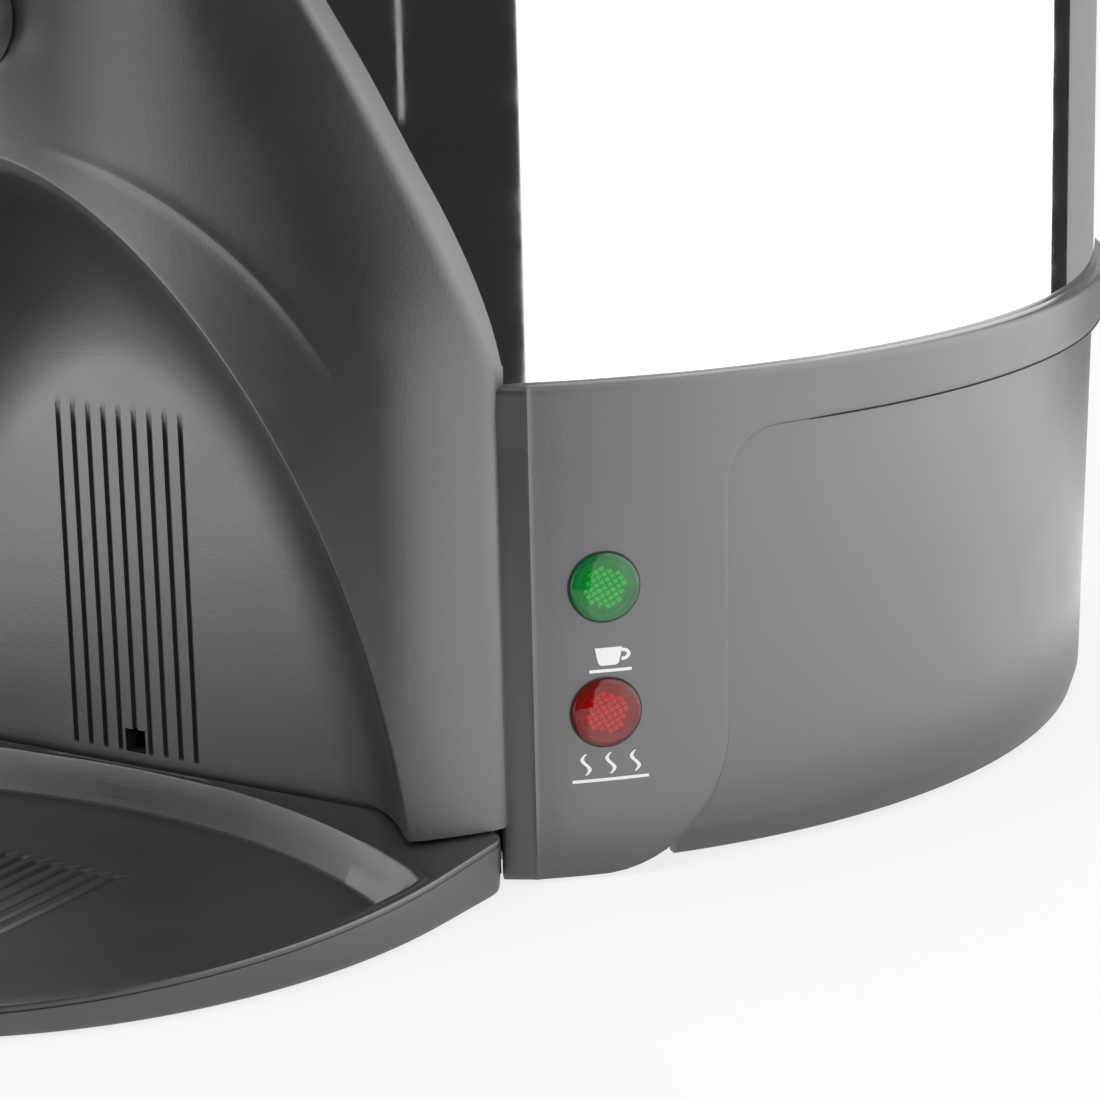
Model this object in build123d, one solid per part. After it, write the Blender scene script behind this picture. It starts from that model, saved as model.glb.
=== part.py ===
from build123d import *
from math import cos, radians, sin, sqrt
import os

# Coffee urn: a double-walled steel drum on a moulded base, with a front tower that carries
# the tap, the level gauge and the cup niche. Millimetres, +Z up, front towards -Y, origin on
# the drum's axis in the plane of the feet. Azimuths run from the front towards +X.

# ---- overall sizes ----
DRUM_R = 120.0            # outside of the drum jacket
DRUM_TOP = 361.8          # jacket's upper edge, under the tank rim
BASE_H = 71.0             # from the table to the step under the collar
FIT = 0.2                 # general clearance between pieces that are assembled by hand
SLIDE_FIT = 0.4           # clearance of pieces that slide by hand
TOUCH = 0.05              # paint-thin gap between pieces that lie against each other
PLATE = 2.4               # wall of the plastic mouldings
SCREW_R = 1.5             # small self-tapping screws
SCREW_HEAD_R = 3.0
SCREW_HEAD_T = 1.8

# ---- drum, tank, rim and lid ----
JACKET_WALL = 0.6
JACKET_SINK = 6.4         # how deep the jacket stands inside the collar
TANK_GAP = 5.9            # air gap between jacket and tank
TANK_WALL = 0.8
TANK_CORNER_R = 6.0
TANK_CLEAR = 38.0         # height of the wiring space under the tank
RIM_T = 0.9
RIM_OVERHANG = 1.2
RIM_LIP = 2.4
LID_OVERHANG = 1.2
LID_T = 0.8
LID_RISE = 21.0
LID_LAND_R = 20.0
LID_SKIRT_DEPTH = 7.0
LID_EDGE_DEPTH = 1.4
KNOB_H = 33.0
KNOB_R = 19.0
KNOB_NECK_R = 11.0
KNOB_FOOT_R = 14.0
KNOB_WASHER_T = 1.0
KNOB_WASHER_R = 15.0
KNOB_SCREW_R = 2.5
KNOB_SCREW_REACH = 14.0

# ---- base ----
COLLAR_OVERHANG = 2.5
COLLAR_TAPER = 1.0
WING_INSET = 0.35         # wing's upper edge inside the collar's outer lip
WING_TAPER = 1.15
WING_BOTTOM = 0.6
WING_EDGE_AZ = 37.1       # upright seam between wing and tower
WING_CENTRE_AZ = 45.0
WING_REACH = 20.6         # from the wing's centre line to its outer edge, along the wall
WING_CORNER_R = 22.0
WING_BLEND_R = 9.0
SHELL_STEP = 1.8          # rear shell's upper edge inside the collar
SHELL_TAPER = 1.7
SHELL_FOOT_STEP = 1.3
SHELL_BOTTOM = 1.0
SHELL_FOOT_Z = 5.0
SHELL_START_AZ = 51.0
FLANGE_Z = 3.0
FLANGE_T = 2.2
FLANGE_W = 12.7
PLATE_T = 1.4
PLATE_CLEAR = 1.3         # gap between base plate and shell wall
VENT_R = 2.5
VENT_CIRCLE_R = 62.0
FOOT_R = 8.0
FOOT_INSET = 21.0
FOOT_STEM_R = 2.4
FOOT_AZ = (33.0, 147.0, 213.0, 327.0)
BASE_SCREW_INSET = 4.0
BASE_SCREW_AZ = (68.0, 125.0)

# ---- tower ----
TOWER_STAND = 7.2         # how far the tower's front stands off the drum
TOWER_SKIN = 2.6
TOWER_BOTTOM = 10.0
TOWER_DROP = 23.8         # tower's top below the jacket's upper edge
TOWER_FLARE_AZ = 30.4
TOWER_RETURN = 10.0       # depth of the tower's upright side walls inside the seam
COLUMN_HALF_W = 33.0
COLUMN_START = 205.0
COLUMN_CORNER_R = 24.0
TOWER_FOOT_LAP = 0.9      # tower's foot beyond the seam, at each side
# Side edge of the tower: share of the way from the column to the foot, and height above the collar
TOWER_EDGE = ((1.0, -1.4), (0.856, 24.1), (0.598, 49.3), (0.317, 75.6), (0.096, 99.6))
NICHE_WALL_STEP = 0.95    # niche wall behind the seam
NICHE_HALF_W = 59.3       # niche at its back wall
NICHE_TOP = 76.0
NICHE_FLARE_W = 0.377     # growth of the half width and the height per mm towards the front
NICHE_FLARE_H = 1.296
NICHE_WALL_FOOT = 1.0
NICHE_WALL_LAP = 2.7      # foot of the niche wall inside the seam, at each side
GROOVE_COUNT = 9
GROOVE_PITCH = 3.18
GROOVE_W = 1.1
GROOVE_DEPTH = 0.8
GROOVE_BOTTOM = 11.4
GROOVE_TOP = 69.0
DRAIN_W = 4.2
DRAIN_BOTTOM = 11.0
DRAIN_TOP = 15.0
TOWER_SCREW_X = 22.0
TOWER_SCREW_INSET = (10.0, 33.0)     # lower pair above the column's start, upper pair below its top
BOSS_R = 3.6

# ---- drip tray ----
TRAY_LAP = 1.6            # tray's tips beyond the seam, at each side
TRAY_CLEAR = 1.15         # gap between the tray and the seam
TRAY_DEPTH = 82.0
TRAY_SIDE = 17.4          # length of the straight sides
TRAY_BOTTOM = 0.5
TRAY_FLOOR = 2.0
TRAY_RIM = 9.6            # height of the rim at its back, from which it falls to the front
TRAY_FALL = 0.05
TRAY_WALL = 2.2
TRAY_LAND_R = 146.7       # hollow's back edge, seen from above
TRAY_LAND_STEP = 3.6
RIB_COUNT = 13
RIB_PITCH = 3.2
RIB_W = 1.7
RIB_DEPTH = 0.6
RIB_STEP = 28.3           # from the niche wall to the ribs' rear ends
RIB_LENGTH = 47.2
TONGUE_HALF_W = 40.0
TONGUE_LOW = 3.6
TONGUE_HIGH = 6.6
TONGUE_REACH = 10.5       # behind the niche wall's face

# ---- tap and level gauge ----
TAP_Z = 137.5
SHANK_R = 8.0
SHANK_WALL = 3.5
SHANK_REACH = 12.5        # inside the tank's wall
SLEEVE_WALL = 3.0
SEAL_LAP = 3.5
OUTER_SEAL_T = 2.0
INNER_SEAL_T = 2.4
LOCKNUT_T = 6.0
FLANGE_LAP = 4.0
FLANGE_DEPTH = 4.0
GAUGE_STAND = 11.2        # gauge glass in front of the tower
GAUGE_BOSS_H = 14.5
GLASS_R = 5.0
GLASS_WALL = 1.4
GLASS_SEAT = 8.0          # glass's lower end inside the boss
SEAL_W = 1.9
SEAL_DEPTH = 4.0
BOSS_WALL = 2.1
NUT_WALL = 2.6
NUT_H = 12.0
TAP_GAP = 1.1             # between the bonnet and the gauge nut
BARREL_R = 11.0
BARREL_WALL = 2.8
BARREL_LOW = 20.0
BARREL_HIGH = 20.5
SEAT_DROP = 9.5
SPOUT_WALL = 3.0
SPOUT_LENGTH = 11.5
BONNET_LAP = 1.5
BONNET_H = 10.0
BONNET_PLUG = 6.0
STEM_R = 2.5
STEM_FIT = 0.08
CUP_FIT = 1.0
CUP_T = 5.0
SEAT_LAP = 2.2            # rubber cup beyond the outlet's bore
SPRING_R = 5.2
SPRING_WIRE_R = 0.6
SPRING_TURNS = 5
SPRING_PLATE_T = 1.5
PIVOT_RISE = 7.5
PIN_R = 1.5
CAM_OFFSET = 7.0
CAM_GAP = 0.35
LEVER_W = 14.0
LEVER_H = 52.5
FORK_HALF_W = 3.0
BRACKET_DROP = 28.0
BRACKET_H = 18.0
BRACKET_HALF_W = 11.0
BRACKET_SEAT = 9.0
SCALE_T = 0.3
SCALE_END_GAP = (26.0, 4.0)
SCALE_X = (7.5, 21.5)

# ---- handles ----
HANDLE_DROP = 65.8        # below the jacket's upper edge
HANDLE_SPREAD = 15.0      # azimuth of each post from the handle's middle
HANDLE_REACH = 40.0
HANDLE_BAR_W = 14.0
HANDLE_BAR_H = 18.0
HANDLE_BEND_R = 14.0
HANDLE_CORNER_R = 5.0
HANDLE_PAD_R = 13.0
HANDLE_PAD_REACH = 6.0
HANDLE_SCREW_R = 2.0
HANDLE_SCREW_HEAD_R = 3.8
HANDLE_SCREW_REACH = 10.0

# ---- lamps and controls ----
LAMP_Z = (48.1, 27.7)
LAMP_R = 5.55
LAMP_PROUD = 1.8
LAMP_LAP = 0.95
LAMP_DEPTH = 24.0
CLIP_W = 2.4
SWITCH_Z = 38.0
SWITCH_HOLE = (12.6, 19.0)
SWITCH_LAP = 1.5
SWITCH_BEZEL_T = 1.8
SWITCH_DEPTH = 16.0
ROCKER_SIDE = 1.7         # frame beside the rocker
ROCKER_R = 8.0
ROCKER_TILT = 8.0
INLET_Z = 38.0
INLET_STAND = 0.5         # inlet's face in front of the rear shell
INLET_BODY = (27.0, 19.6)
INLET_FLANGE_LAP = (11.0, 1.7)
INLET_FLANGE_T = 3.0
INLET_WALL = 1.2
INLET_SCREW_INSET = 4.5
INLET_PINS = ((-7.0, -2.0), (0.0, 2.0), (7.0, -2.0))
PIN_SIZE = (2.0, 23.0, 4.0)
RESET_X = 38.0
RESET_Y = 50.0
RESET_R = 3.0
CUTOUT_R = 11.0
TERMINAL_X = (-46.0, -34.0, -22.0)
TERMINAL_Y = (30.0, 48.0)
TERMINAL_H = 15.0
TERMINAL_W = 44.0
TERMINAL_SCREW_R = 2.3
LEAD_R = 1.3

# ---- percolator set ----
TUBE_R = 6.0
TUBE_WALL = 0.6
TUBE_DROP = 21.8          # riser's top below the jacket's upper edge
BELL_R = 30.0
BELL_H = 9.0
BASKET_R = 76.0
BASKET_H = 74.0
BASKET_DROP = 10.0        # basket's mouth below the riser's top
BASKET_WALL = 0.6
BASKET_FLOOR_T = 0.8
SLEEVE_CLEAR = 0.6
PERCOLATOR_HOLE_R = 1.5

# ---- heating ----
HEATER_R = 62.0
HEATER_T = 8.0
HEATER_RING_R = 40.0
HEATER_TUBE_R = 3.6
HEATER_PIN_R = 3.2
HEATER_PIN_H = 9.0
KEEP_WARM_GAP = 4.0
KEEP_WARM_W = 20.0
KEEP_WARM_T = 2.2


def polar(radius, azimuth):
    return radius * sin(radians(azimuth)), -radius * cos(radians(azimuth))


# ---- values worked out from the sizes above ----
DRUM_BOTTOM = BASE_H + 3.0
COLLAR_TOP = DRUM_BOTTOM + JACKET_SINK
COLLAR_R = DRUM_R + COLLAR_OVERHANG
COLLAR_R_LOW = COLLAR_R - COLLAR_TAPER
WING_R_TOP = COLLAR_R - WING_INSET
WING_R_LOW = WING_R_TOP - WING_TAPER
SHELL_R_TOP = COLLAR_R_LOW - SHELL_STEP
SHELL_R_LOW = SHELL_R_TOP - SHELL_TAPER
SHELL_R_FOOT = SHELL_R_LOW - SHELL_FOOT_STEP
FLANGE_R = SHELL_R_FOOT - FLANGE_W
BASE_PLATE_R = SHELL_R_FOOT - PLATE - PLATE_CLEAR
FOOT_CIRCLE_R = BASE_PLATE_R - FOOT_INSET
BASE_SCREW_CIRCLE_R = BASE_PLATE_R - BASE_SCREW_INSET
TANK_R = DRUM_R - JACKET_WALL - TANK_GAP
TANK_BORE_R = TANK_R - TANK_WALL
TANK_FLOOR = DRUM_BOTTOM + TANK_CLEAR
RIM_R = DRUM_R + RIM_OVERHANG
LID_R = RIM_R + LID_OVERHANG
LID_BASE = DRUM_TOP + FIT + RIM_T + TOUCH + LID_T
LID_RIM_R = TANK_BORE_R - 2 * SLIDE_FIT
LID_TOP = LID_BASE + LID_RISE
TOWER_R = DRUM_R + TOWER_STAND
TOWER_TOP = DRUM_TOP - TOWER_DROP
SEAM_X, SEAM_Y = polar(WING_R_TOP, WING_EDGE_AZ)
TOWER_SCREW_Z = (COLUMN_START + TOWER_SCREW_INSET[0], TOWER_TOP - TOWER_SCREW_INSET[1])
NICHE_WALL_Y = SEAM_Y + NICHE_WALL_STEP
NICHE_FRONT_Y = -TOWER_R - 12.8
NICHE_WALL_HALF_W = SEAM_X - NICHE_WALL_LAP
TRAY_HALF_W = SEAM_X + TRAY_LAP
TRAY_BACK_Y = SEAM_Y - TRAY_CLEAR
TRAY_CENTRE_Y = TRAY_BACK_Y - TRAY_SIDE
RIB_BACK_Y = NICHE_WALL_Y - RIB_STEP
RIB_FRONT_Y = RIB_BACK_Y - RIB_LENGTH
TONGUE_END_Y = NICHE_WALL_Y + TONGUE_REACH
SLEEVE_R = SHANK_R + SLEEVE_WALL
SEAL_OUTER_R = SHANK_R + SEAL_LAP
SHANK_END_Y = -TANK_R + SHANK_REACH
WATERWAY_R = SHANK_R - SHANK_WALL
GAUGE_Y = -TOWER_R - GAUGE_STAND
GAUGE_BOSS_TOP = TAP_Z + GAUGE_BOSS_H
GLASS_BORE_R = GLASS_R - GLASS_WALL
SEAL_R = GLASS_R + SEAL_W
GAUGE_BOSS_R = SEAL_R + BOSS_WALL
NUT_R = SEAL_R + NUT_WALL
GLASS_LOW = GAUGE_BOSS_TOP - GLASS_SEAT
SEAL_LOW = GAUGE_BOSS_TOP - SEAL_DEPTH
BRACKET_LOW = TOWER_TOP - BRACKET_DROP
BRACKET_HIGH = BRACKET_LOW + BRACKET_H
GLASS_HIGH = BRACKET_LOW + BRACKET_SEAT
BRACKET_SCREW_Z = (GLASS_HIGH + BRACKET_HIGH) / 2
SCALE_LOW = GAUGE_BOSS_TOP + SCALE_END_GAP[0]
SCALE_HIGH = BRACKET_LOW - SCALE_END_GAP[1]
CHAMBER_R = BARREL_R - BARREL_WALL
CUP_R = CHAMBER_R - CUP_FIT
SPOUT_BORE_R = CUP_R - SEAT_LAP
SPOUT_R = SPOUT_BORE_R + SPOUT_WALL
SPOUT_BOTTOM = TAP_Z - BARREL_LOW - SPOUT_LENGTH
BARREL_TOP = TAP_Z + BARREL_HIGH
SEAT_Z = TAP_Z - SEAT_DROP
BONNET_R = BARREL_R + BONNET_LAP
TAP_Y = GAUGE_Y - NUT_R - BONNET_R - TAP_GAP
BONNET_TOP = BARREL_TOP + BONNET_H
PIVOT_Z = BONNET_TOP + PIVOT_RISE
LEVER_TOP = PIVOT_Z + LEVER_H
HANDLE_Z = DRUM_TOP - HANDLE_DROP
HANDLE_REACH_R = DRUM_R + HANDLE_REACH
HANDLE_SCREW_END = DRUM_R + HANDLE_SCREW_REACH
HANDLE_AZIMUTHS = [side + turn for side in (-90, 90) for turn in (-HANDLE_SPREAD, HANDLE_SPREAD)]
LAMP_HOLE_R = LAMP_R - LAMP_LAP
LAMP_BODY_R = LAMP_HOLE_R - FIT
SWITCH_FRAME = (SWITCH_HOLE[0] + 2 * SWITCH_LAP, SWITCH_HOLE[1] + 2 * SWITCH_LAP)
ROCKER_W = SWITCH_HOLE[0] - 2 * ROCKER_SIDE
INLET_FACE_Y = SHELL_R_TOP + INLET_STAND
INLET_FLANGE = (INLET_BODY[0] + 2 * INLET_FLANGE_LAP[0], INLET_BODY[1] + 2 * INLET_FLANGE_LAP[1])
INLET_SCREW_X = INLET_FLANGE[0] / 2 - INLET_SCREW_INSET
TUBE_TOP = DRUM_TOP - TUBE_DROP
BASKET_HIGH = TUBE_TOP - BASKET_DROP
BASKET_LOW = BASKET_HIGH - BASKET_H
BASKET_SLEEVE_R = TUBE_R + SLEEVE_CLEAR + BASKET_WALL
HEATER_LOW = TANK_FLOOR - HEATER_T
HEATER_PIN_X = HEATER_RING_R + 14.0

LOW = (Align.CENTER, Align.CENTER, Align.MIN)


def disc(radius, z_low, z_high, x=0.0, y=0.0):
    return Pos(x, y, z_low) * Cylinder(radius, z_high - z_low, align=LOW)


def tube(r_out, r_in, z_low, z_high, x=0.0, y=0.0):
    return disc(r_out, z_low, z_high, x, y) - disc(r_in, z_low - 1, z_high + 1, x, y)


def forward_rod(radius, y_back, y_front, x, z):
    """Round bar along Y, from its back end to its front end."""
    return Pos(x, y_back, z) * Rot(90, 0, 0) * Cylinder(radius, y_back - y_front, align=LOW)


def side_rod(radius, half_length, y, z):
    """Round bar along X, centred on the plane x = 0."""
    return Pos(0, y, z) * Rot(0, 90, 0) * Cylinder(radius, 2 * half_length)


def block(x_size, y_range, z_range, x=0.0):
    y_low, y_high = y_range
    z_low, z_high = z_range
    centre = Pos(x, (y_low + y_high) / 2, z_low)
    return centre * Box(x_size, y_high - y_low, z_high - z_low, align=LOW)


def station(azimuth, z=0.0):
    """Plane on the drum's axis that faces out at an azimuth: x along the wall, y up."""
    a = radians(azimuth)
    return Plane(origin=(0, 0, z), x_dir=(cos(a), sin(a), 0), z_dir=(sin(a), -cos(a), 0))


def radial_rod(azimuth, z, radius, r_low, r_high, shift=0.0):
    return station(azimuth, z) * Pos(shift, 0, r_low) * Cylinder(radius, r_high - r_low, align=LOW)


def outline(points, corners=()):
    """Closed flat face, with some of its corners rounded."""
    face = make_face(Polyline(*points, close=True))
    for point, radius in corners:
        corner = face.vertices().sort_by_distance((point[0], point[1], 0))[0]
        face = fillet(corner, radius)
    return face


def turned(points, corners=(), x=0.0, y=0.0):
    """Solid of revolution about an upright axis, from a half section of (radius, z) points."""
    return Pos(x, y, 0) * revolve(Plane.XZ * outline(points, corners), Axis.Z)


def wedge(az_low, az_high, z_low, z_high, reach=400.0):
    middle = (az_low + az_high) / 2
    points = [(0, 0), polar(reach, az_low), polar(reach, middle), polar(reach, az_high)]
    return Pos(0, 0, z_low) * extrude(outline(points), z_high - z_low)


# ---------------------------------------------------------------- drum, tank and lid

def niche_void(growth=0.0):
    """Dish of the cup niche: a tapering arch that opens towards the front."""
    depth = NICHE_WALL_Y - NICHE_FRONT_Y
    back = Plane.XZ.offset(-NICHE_WALL_Y - growth)
    front = Plane.XZ.offset(-NICHE_FRONT_Y)
    back_arch = back * Ellipse(NICHE_HALF_W + growth, NICHE_TOP + growth)
    front_w = NICHE_HALF_W + NICHE_FLARE_W * depth + growth
    front_h = NICHE_TOP + NICHE_FLARE_H * depth + growth
    front_arch = front * Ellipse(front_w, front_h)
    return loft([back_arch, front_arch], ruled=True)


def drum_jacket():
    jacket = tube(DRUM_R, DRUM_R - JACKET_WALL, DRUM_BOTTOM, DRUM_TOP)
    jacket -= niche_void(PLATE + 2 * FIT)
    jacket -= forward_rod(SLEEVE_R + FIT, -DRUM_R + 30, -DRUM_R - 5, 0, TAP_Z)
    for x in (-TOWER_SCREW_X, TOWER_SCREW_X):
        for z in TOWER_SCREW_Z:
            jacket -= forward_rod(SCREW_R + FIT, -DRUM_R + 30, -DRUM_R - 5, x, z)
    for azimuth in HANDLE_AZIMUTHS:
        jacket -= radial_rod(azimuth, HANDLE_Z, HANDLE_SCREW_R + FIT, DRUM_R - 10, DRUM_R + 5)
    return jacket


def inner_tank():
    rim_low = DRUM_TOP + FIT
    rim_high = rim_low + RIM_T
    lip_low = rim_low - RIM_LIP
    floor_top = TANK_FLOOR + TANK_WALL
    points = [(0, TANK_FLOOR), (TANK_R, TANK_FLOOR), (TANK_R, rim_low)]
    points += [(RIM_R - RIM_T, rim_low), (RIM_R - RIM_T, lip_low), (RIM_R, lip_low)]
    points += [(RIM_R, rim_high), (TANK_BORE_R, rim_high), (TANK_BORE_R, floor_top), (0, floor_top)]
    corners = [((TANK_R, TANK_FLOOR), TANK_CORNER_R)]
    corners += [((TANK_BORE_R, floor_top), TANK_CORNER_R - TANK_WALL)]
    corners += [((RIM_R, rim_high), RIM_T * 0.8)]
    tank = turned(points, corners)
    tank -= forward_rod(SHANK_R + FIT, -TANK_R + 20, -TANK_R - 5, 0, TAP_Z)
    return tank


def heater_plate():
    """Cast aluminium plate with the sheathed element, clamped under the tank floor."""
    plate = disc(HEATER_R, HEATER_LOW, TANK_FLOOR)
    channel = tube(HEATER_RING_R + 6, HEATER_RING_R - 6, HEATER_LOW - 1, HEATER_LOW + 2)
    plate -= channel
    for x in (-HEATER_PIN_X, HEATER_PIN_X):
        plate += disc(HEATER_PIN_R, HEATER_LOW - HEATER_PIN_H, HEATER_LOW + 1, x)
    return plate


def heater_ring():
    """Sheathed ring element bedded in the plate's channel."""
    return Pos(0, 0, HEATER_LOW + 2 - HEATER_TUBE_R - 0.3) * Torus(HEATER_RING_R, HEATER_TUBE_R)


def keep_warm_element():
    """Flat low-power element around the heater plate."""
    r_in = HEATER_R + KEEP_WARM_GAP
    return tube(r_in + KEEP_WARM_W, r_in, TANK_FLOOR - KEEP_WARM_T, TANK_FLOOR)


def thermostat():
    top = HEATER_LOW
    body = disc(8.0, top - 10, top) + disc(5.5, top - 13, top - 9)
    for x in (-5.0, 5.0):
        body += block(3.0, (-0.4, 0.4), (top - 20, top - 11), x)
    return body


def lid_height(radius):
    """Top of the lid's dome: a flat land in the middle, then a circular arc down to the rim."""
    span = LID_RIM_R - LID_LAND_R
    big = (span ** 2 + LID_RISE ** 2) / (2 * LID_RISE)
    if radius <= LID_LAND_R:
        return LID_TOP
    return LID_TOP - big + sqrt(big ** 2 - (radius - LID_LAND_R) ** 2)


def lid_shell():
    middle = (LID_LAND_R + LID_RIM_R) / 2
    top = LID_TOP
    skirt_r = LID_RIM_R
    edge_low = LID_BASE - LID_EDGE_DEPTH
    land = Line((0, top), (LID_LAND_R, top))
    dome = ThreePointArc((LID_LAND_R, top), (middle, lid_height(middle)), (LID_RIM_R, LID_BASE))
    edge = Polyline((LID_RIM_R, LID_BASE), (LID_R, LID_BASE), (LID_R, edge_low),
                    (LID_R - LID_T, edge_low), (LID_R - LID_T, LID_BASE - LID_T),
                    (skirt_r, LID_BASE - LID_T), (skirt_r, LID_BASE - LID_SKIRT_DEPTH),
                    (skirt_r - LID_T, LID_BASE - LID_SKIRT_DEPTH), (skirt_r - LID_T, LID_BASE - LID_T),
                    (LID_RIM_R - 1.0, LID_BASE - LID_T))
    under = ThreePointArc((LID_RIM_R - 1.0, LID_BASE - LID_T),
                          (middle, lid_height(middle) - LID_T), (LID_LAND_R, top - LID_T))
    close = Polyline((LID_LAND_R, top - LID_T), (0, top - LID_T), (0, top))
    section = make_face(land + dome + edge + under + close)
    lid = revolve(Plane.XZ * section, Axis.Z)
    lid -= disc(KNOB_SCREW_R + FIT, LID_BASE, top + 5)
    return lid


def lid_knob():
    base = LID_TOP + KNOB_WASHER_T
    top = base + KNOB_H
    neck, low_rim, high_rim = base + 0.3 * KNOB_H, base + 0.6 * KNOB_H, base + 0.82 * KNOB_H
    crown_r = KNOB_R - 7.0
    points = [(0, base), (KNOB_FOOT_R, base), (KNOB_NECK_R, neck), (KNOB_R, low_rim)]
    points += [(KNOB_R, high_rim), (crown_r, top), (0, top)]
    corners = [((KNOB_NECK_R, neck), 9.0), ((KNOB_R, low_rim), 4.0), ((KNOB_R, high_rim), 4.0)]
    corners += [((crown_r, top), 8.0)]
    knob = turned(points, corners)
    knob -= disc(KNOB_SCREW_R, base - 1, base + KNOB_SCREW_REACH)
    return knob


def knob_washer():
    return tube(KNOB_WASHER_R, KNOB_SCREW_R + FIT, LID_TOP, LID_TOP + KNOB_WASHER_T)


def knob_screw():
    under = LID_TOP - LID_T
    shank = disc(KNOB_SCREW_R, under - 1, under + KNOB_SCREW_REACH)
    return disc(2 * KNOB_SCREW_R, under - 3.0, under) + shank


# ---------------------------------------------------------------- base

def wing_outline():
    left = -DRUM_R * sin(radians(WING_CENTRE_AZ - WING_EDGE_AZ)) - 0.3
    far = WING_REACH + 14.0
    points = [(left, WING_BOTTOM), (WING_REACH, WING_BOTTOM), (WING_REACH, BASE_H)]
    points += [(far, BASE_H), (far, BASE_H + 1.5), (left, BASE_H + 1.5)]
    corners = [((WING_REACH, WING_BOTTOM), WING_CORNER_R)]
    corners += [((WING_REACH, BASE_H), WING_BLEND_R)]
    return outline(points, corners)


def wing(azimuth):
    """One front wing of the collar, cut from a slightly conical wall."""
    top = BASE_H + 2
    points = [(WING_R_LOW, WING_BOTTOM - 1), (WING_R_TOP, top), (WING_R_TOP - PLATE, top)]
    points += [(WING_R_LOW - PLATE, WING_BOTTOM - 1)]
    face = station(azimuth) * (wing_outline() if azimuth > 0 else mirror(wing_outline(), Plane.YZ))
    return turned(points) & extrude(face, 150, dir=station(azimuth).z_dir)


def base_collar():
    """Collar that seats the drum, moulded in one with the two front wings."""
    seat_z = DRUM_BOTTOM - FIT
    points = [(SHELL_R_TOP - PLATE, BASE_H), (COLLAR_R_LOW, BASE_H)]
    points += [(COLLAR_R, COLLAR_TOP), (DRUM_R + FIT, COLLAR_TOP), (DRUM_R + FIT, seat_z)]
    points += [(SHELL_R_TOP - PLATE, seat_z)]
    collar = turned(points, [((COLLAR_R, COLLAR_TOP), 1.0)])
    for azimuth in (WING_CENTRE_AZ, -WING_CENTRE_AZ):
        collar += wing(azimuth)
    collar -= wedge(-WING_EDGE_AZ, WING_EDGE_AZ, -1, 200)
    for z in LAMP_Z:
        collar -= radial_rod(WING_CENTRE_AZ, z, LAMP_HOLE_R, SHELL_R_FOOT - 10, COLLAR_R + 10)
    hole = Box(SWITCH_HOLE[0], SWITCH_HOLE[1], 60)
    collar -= station(-WING_CENTRE_AZ, SWITCH_Z) * Pos(0, 0, DRUM_R) * hole
    return collar


def base_screw_places():
    return [polar(BASE_SCREW_CIRCLE_R, side * az) for az in BASE_SCREW_AZ for side in (-1, 1)]


def rear_shell():
    flange_top = FLANGE_Z + FLANGE_T
    points = [(SHELL_R_TOP, BASE_H), (SHELL_R_LOW, SHELL_FOOT_Z), (SHELL_R_FOOT, SHELL_BOTTOM)]
    points += [(SHELL_R_FOOT - PLATE, SHELL_BOTTOM), (SHELL_R_FOOT - PLATE, FLANGE_Z)]
    points += [(FLANGE_R, FLANGE_Z), (FLANGE_R, flange_top), (SHELL_R_LOW - PLATE, flange_top)]
    points += [(SHELL_R_TOP - PLATE, BASE_H)]
    shell = turned(points, [((SHELL_R_LOW, SHELL_FOOT_Z), SHELL_FOOT_Z - SHELL_BOTTOM)])
    shell -= wedge(-SHELL_START_AZ, SHELL_START_AZ, -1, 200)
    pad_half_h = INLET_FLANGE[1] / 2 + 2
    pad = block(INLET_FLANGE[0] + 4, (INLET_FACE_Y - 6, INLET_FACE_Y),
                (INLET_Z - pad_half_h, INLET_Z + pad_half_h))
    shell += pad
    shell -= Pos(0, INLET_FACE_Y, INLET_Z) * Box(INLET_BODY[0] + FIT, 60, INLET_BODY[1] + FIT)
    for x in (-INLET_SCREW_X, INLET_SCREW_X):
        shell -= forward_rod(SCREW_R, INLET_FACE_Y + 1, INLET_FACE_Y - 20, x, INLET_Z)
    for x, y in base_screw_places():
        shell += disc(BOSS_R + 0.6, flange_top - 0.5, flange_top + 9, x, y)
        shell -= disc(SCREW_R, FLANGE_Z - 1, flange_top + 7, x, y)
    return shell


def base_plate():
    low = FLANGE_Z - PLATE_T
    plate = disc(BASE_PLATE_R, low, FLANGE_Z)
    plate -= block(300, (-200, NICHE_WALL_Y + PLATE + FIT), (low - 1, FLANGE_Z + 1))
    for x, y in foot_places():
        plate -= disc(FOOT_STEM_R + FIT, low - 1, FLANGE_Z + 1, x, y)
    for x, y in base_screw_places():
        plate -= disc(SCREW_R + FIT, low - 1, FLANGE_Z + 1, x, y)
    plate -= disc(RESET_R + FIT, low - 1, FLANGE_Z + 1, RESET_X, RESET_Y)
    for azimuth in range(0, 360, 20):
        x, y = polar(VENT_CIRCLE_R, azimuth)
        plate -= disc(VENT_R, low - 1, FLANGE_Z + 1, x, y)
    return plate


def foot_places():
    return [polar(FOOT_CIRCLE_R, azimuth) for azimuth in FOOT_AZ]


def foot(x, y):
    low = FLANGE_Z - PLATE_T
    pad = disc(FOOT_R, 0, low, x, y)
    stem = disc(FOOT_STEM_R, low - 0.5, FLANGE_Z + 0.6, x, y)
    barb = disc(FOOT_STEM_R + 1.2, FLANGE_Z + FIT / 2, FLANGE_Z + 2.4, x, y)
    return pad + stem + barb


def base_screw(x, y):
    low = FLANGE_Z - PLATE_T
    return disc(SCREW_HEAD_R, low - 1.2, low, x, y) + disc(SCREW_R, low - 0.5, FLANGE_Z + 7.5, x, y)


# ---------------------------------------------------------------- tower

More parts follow.
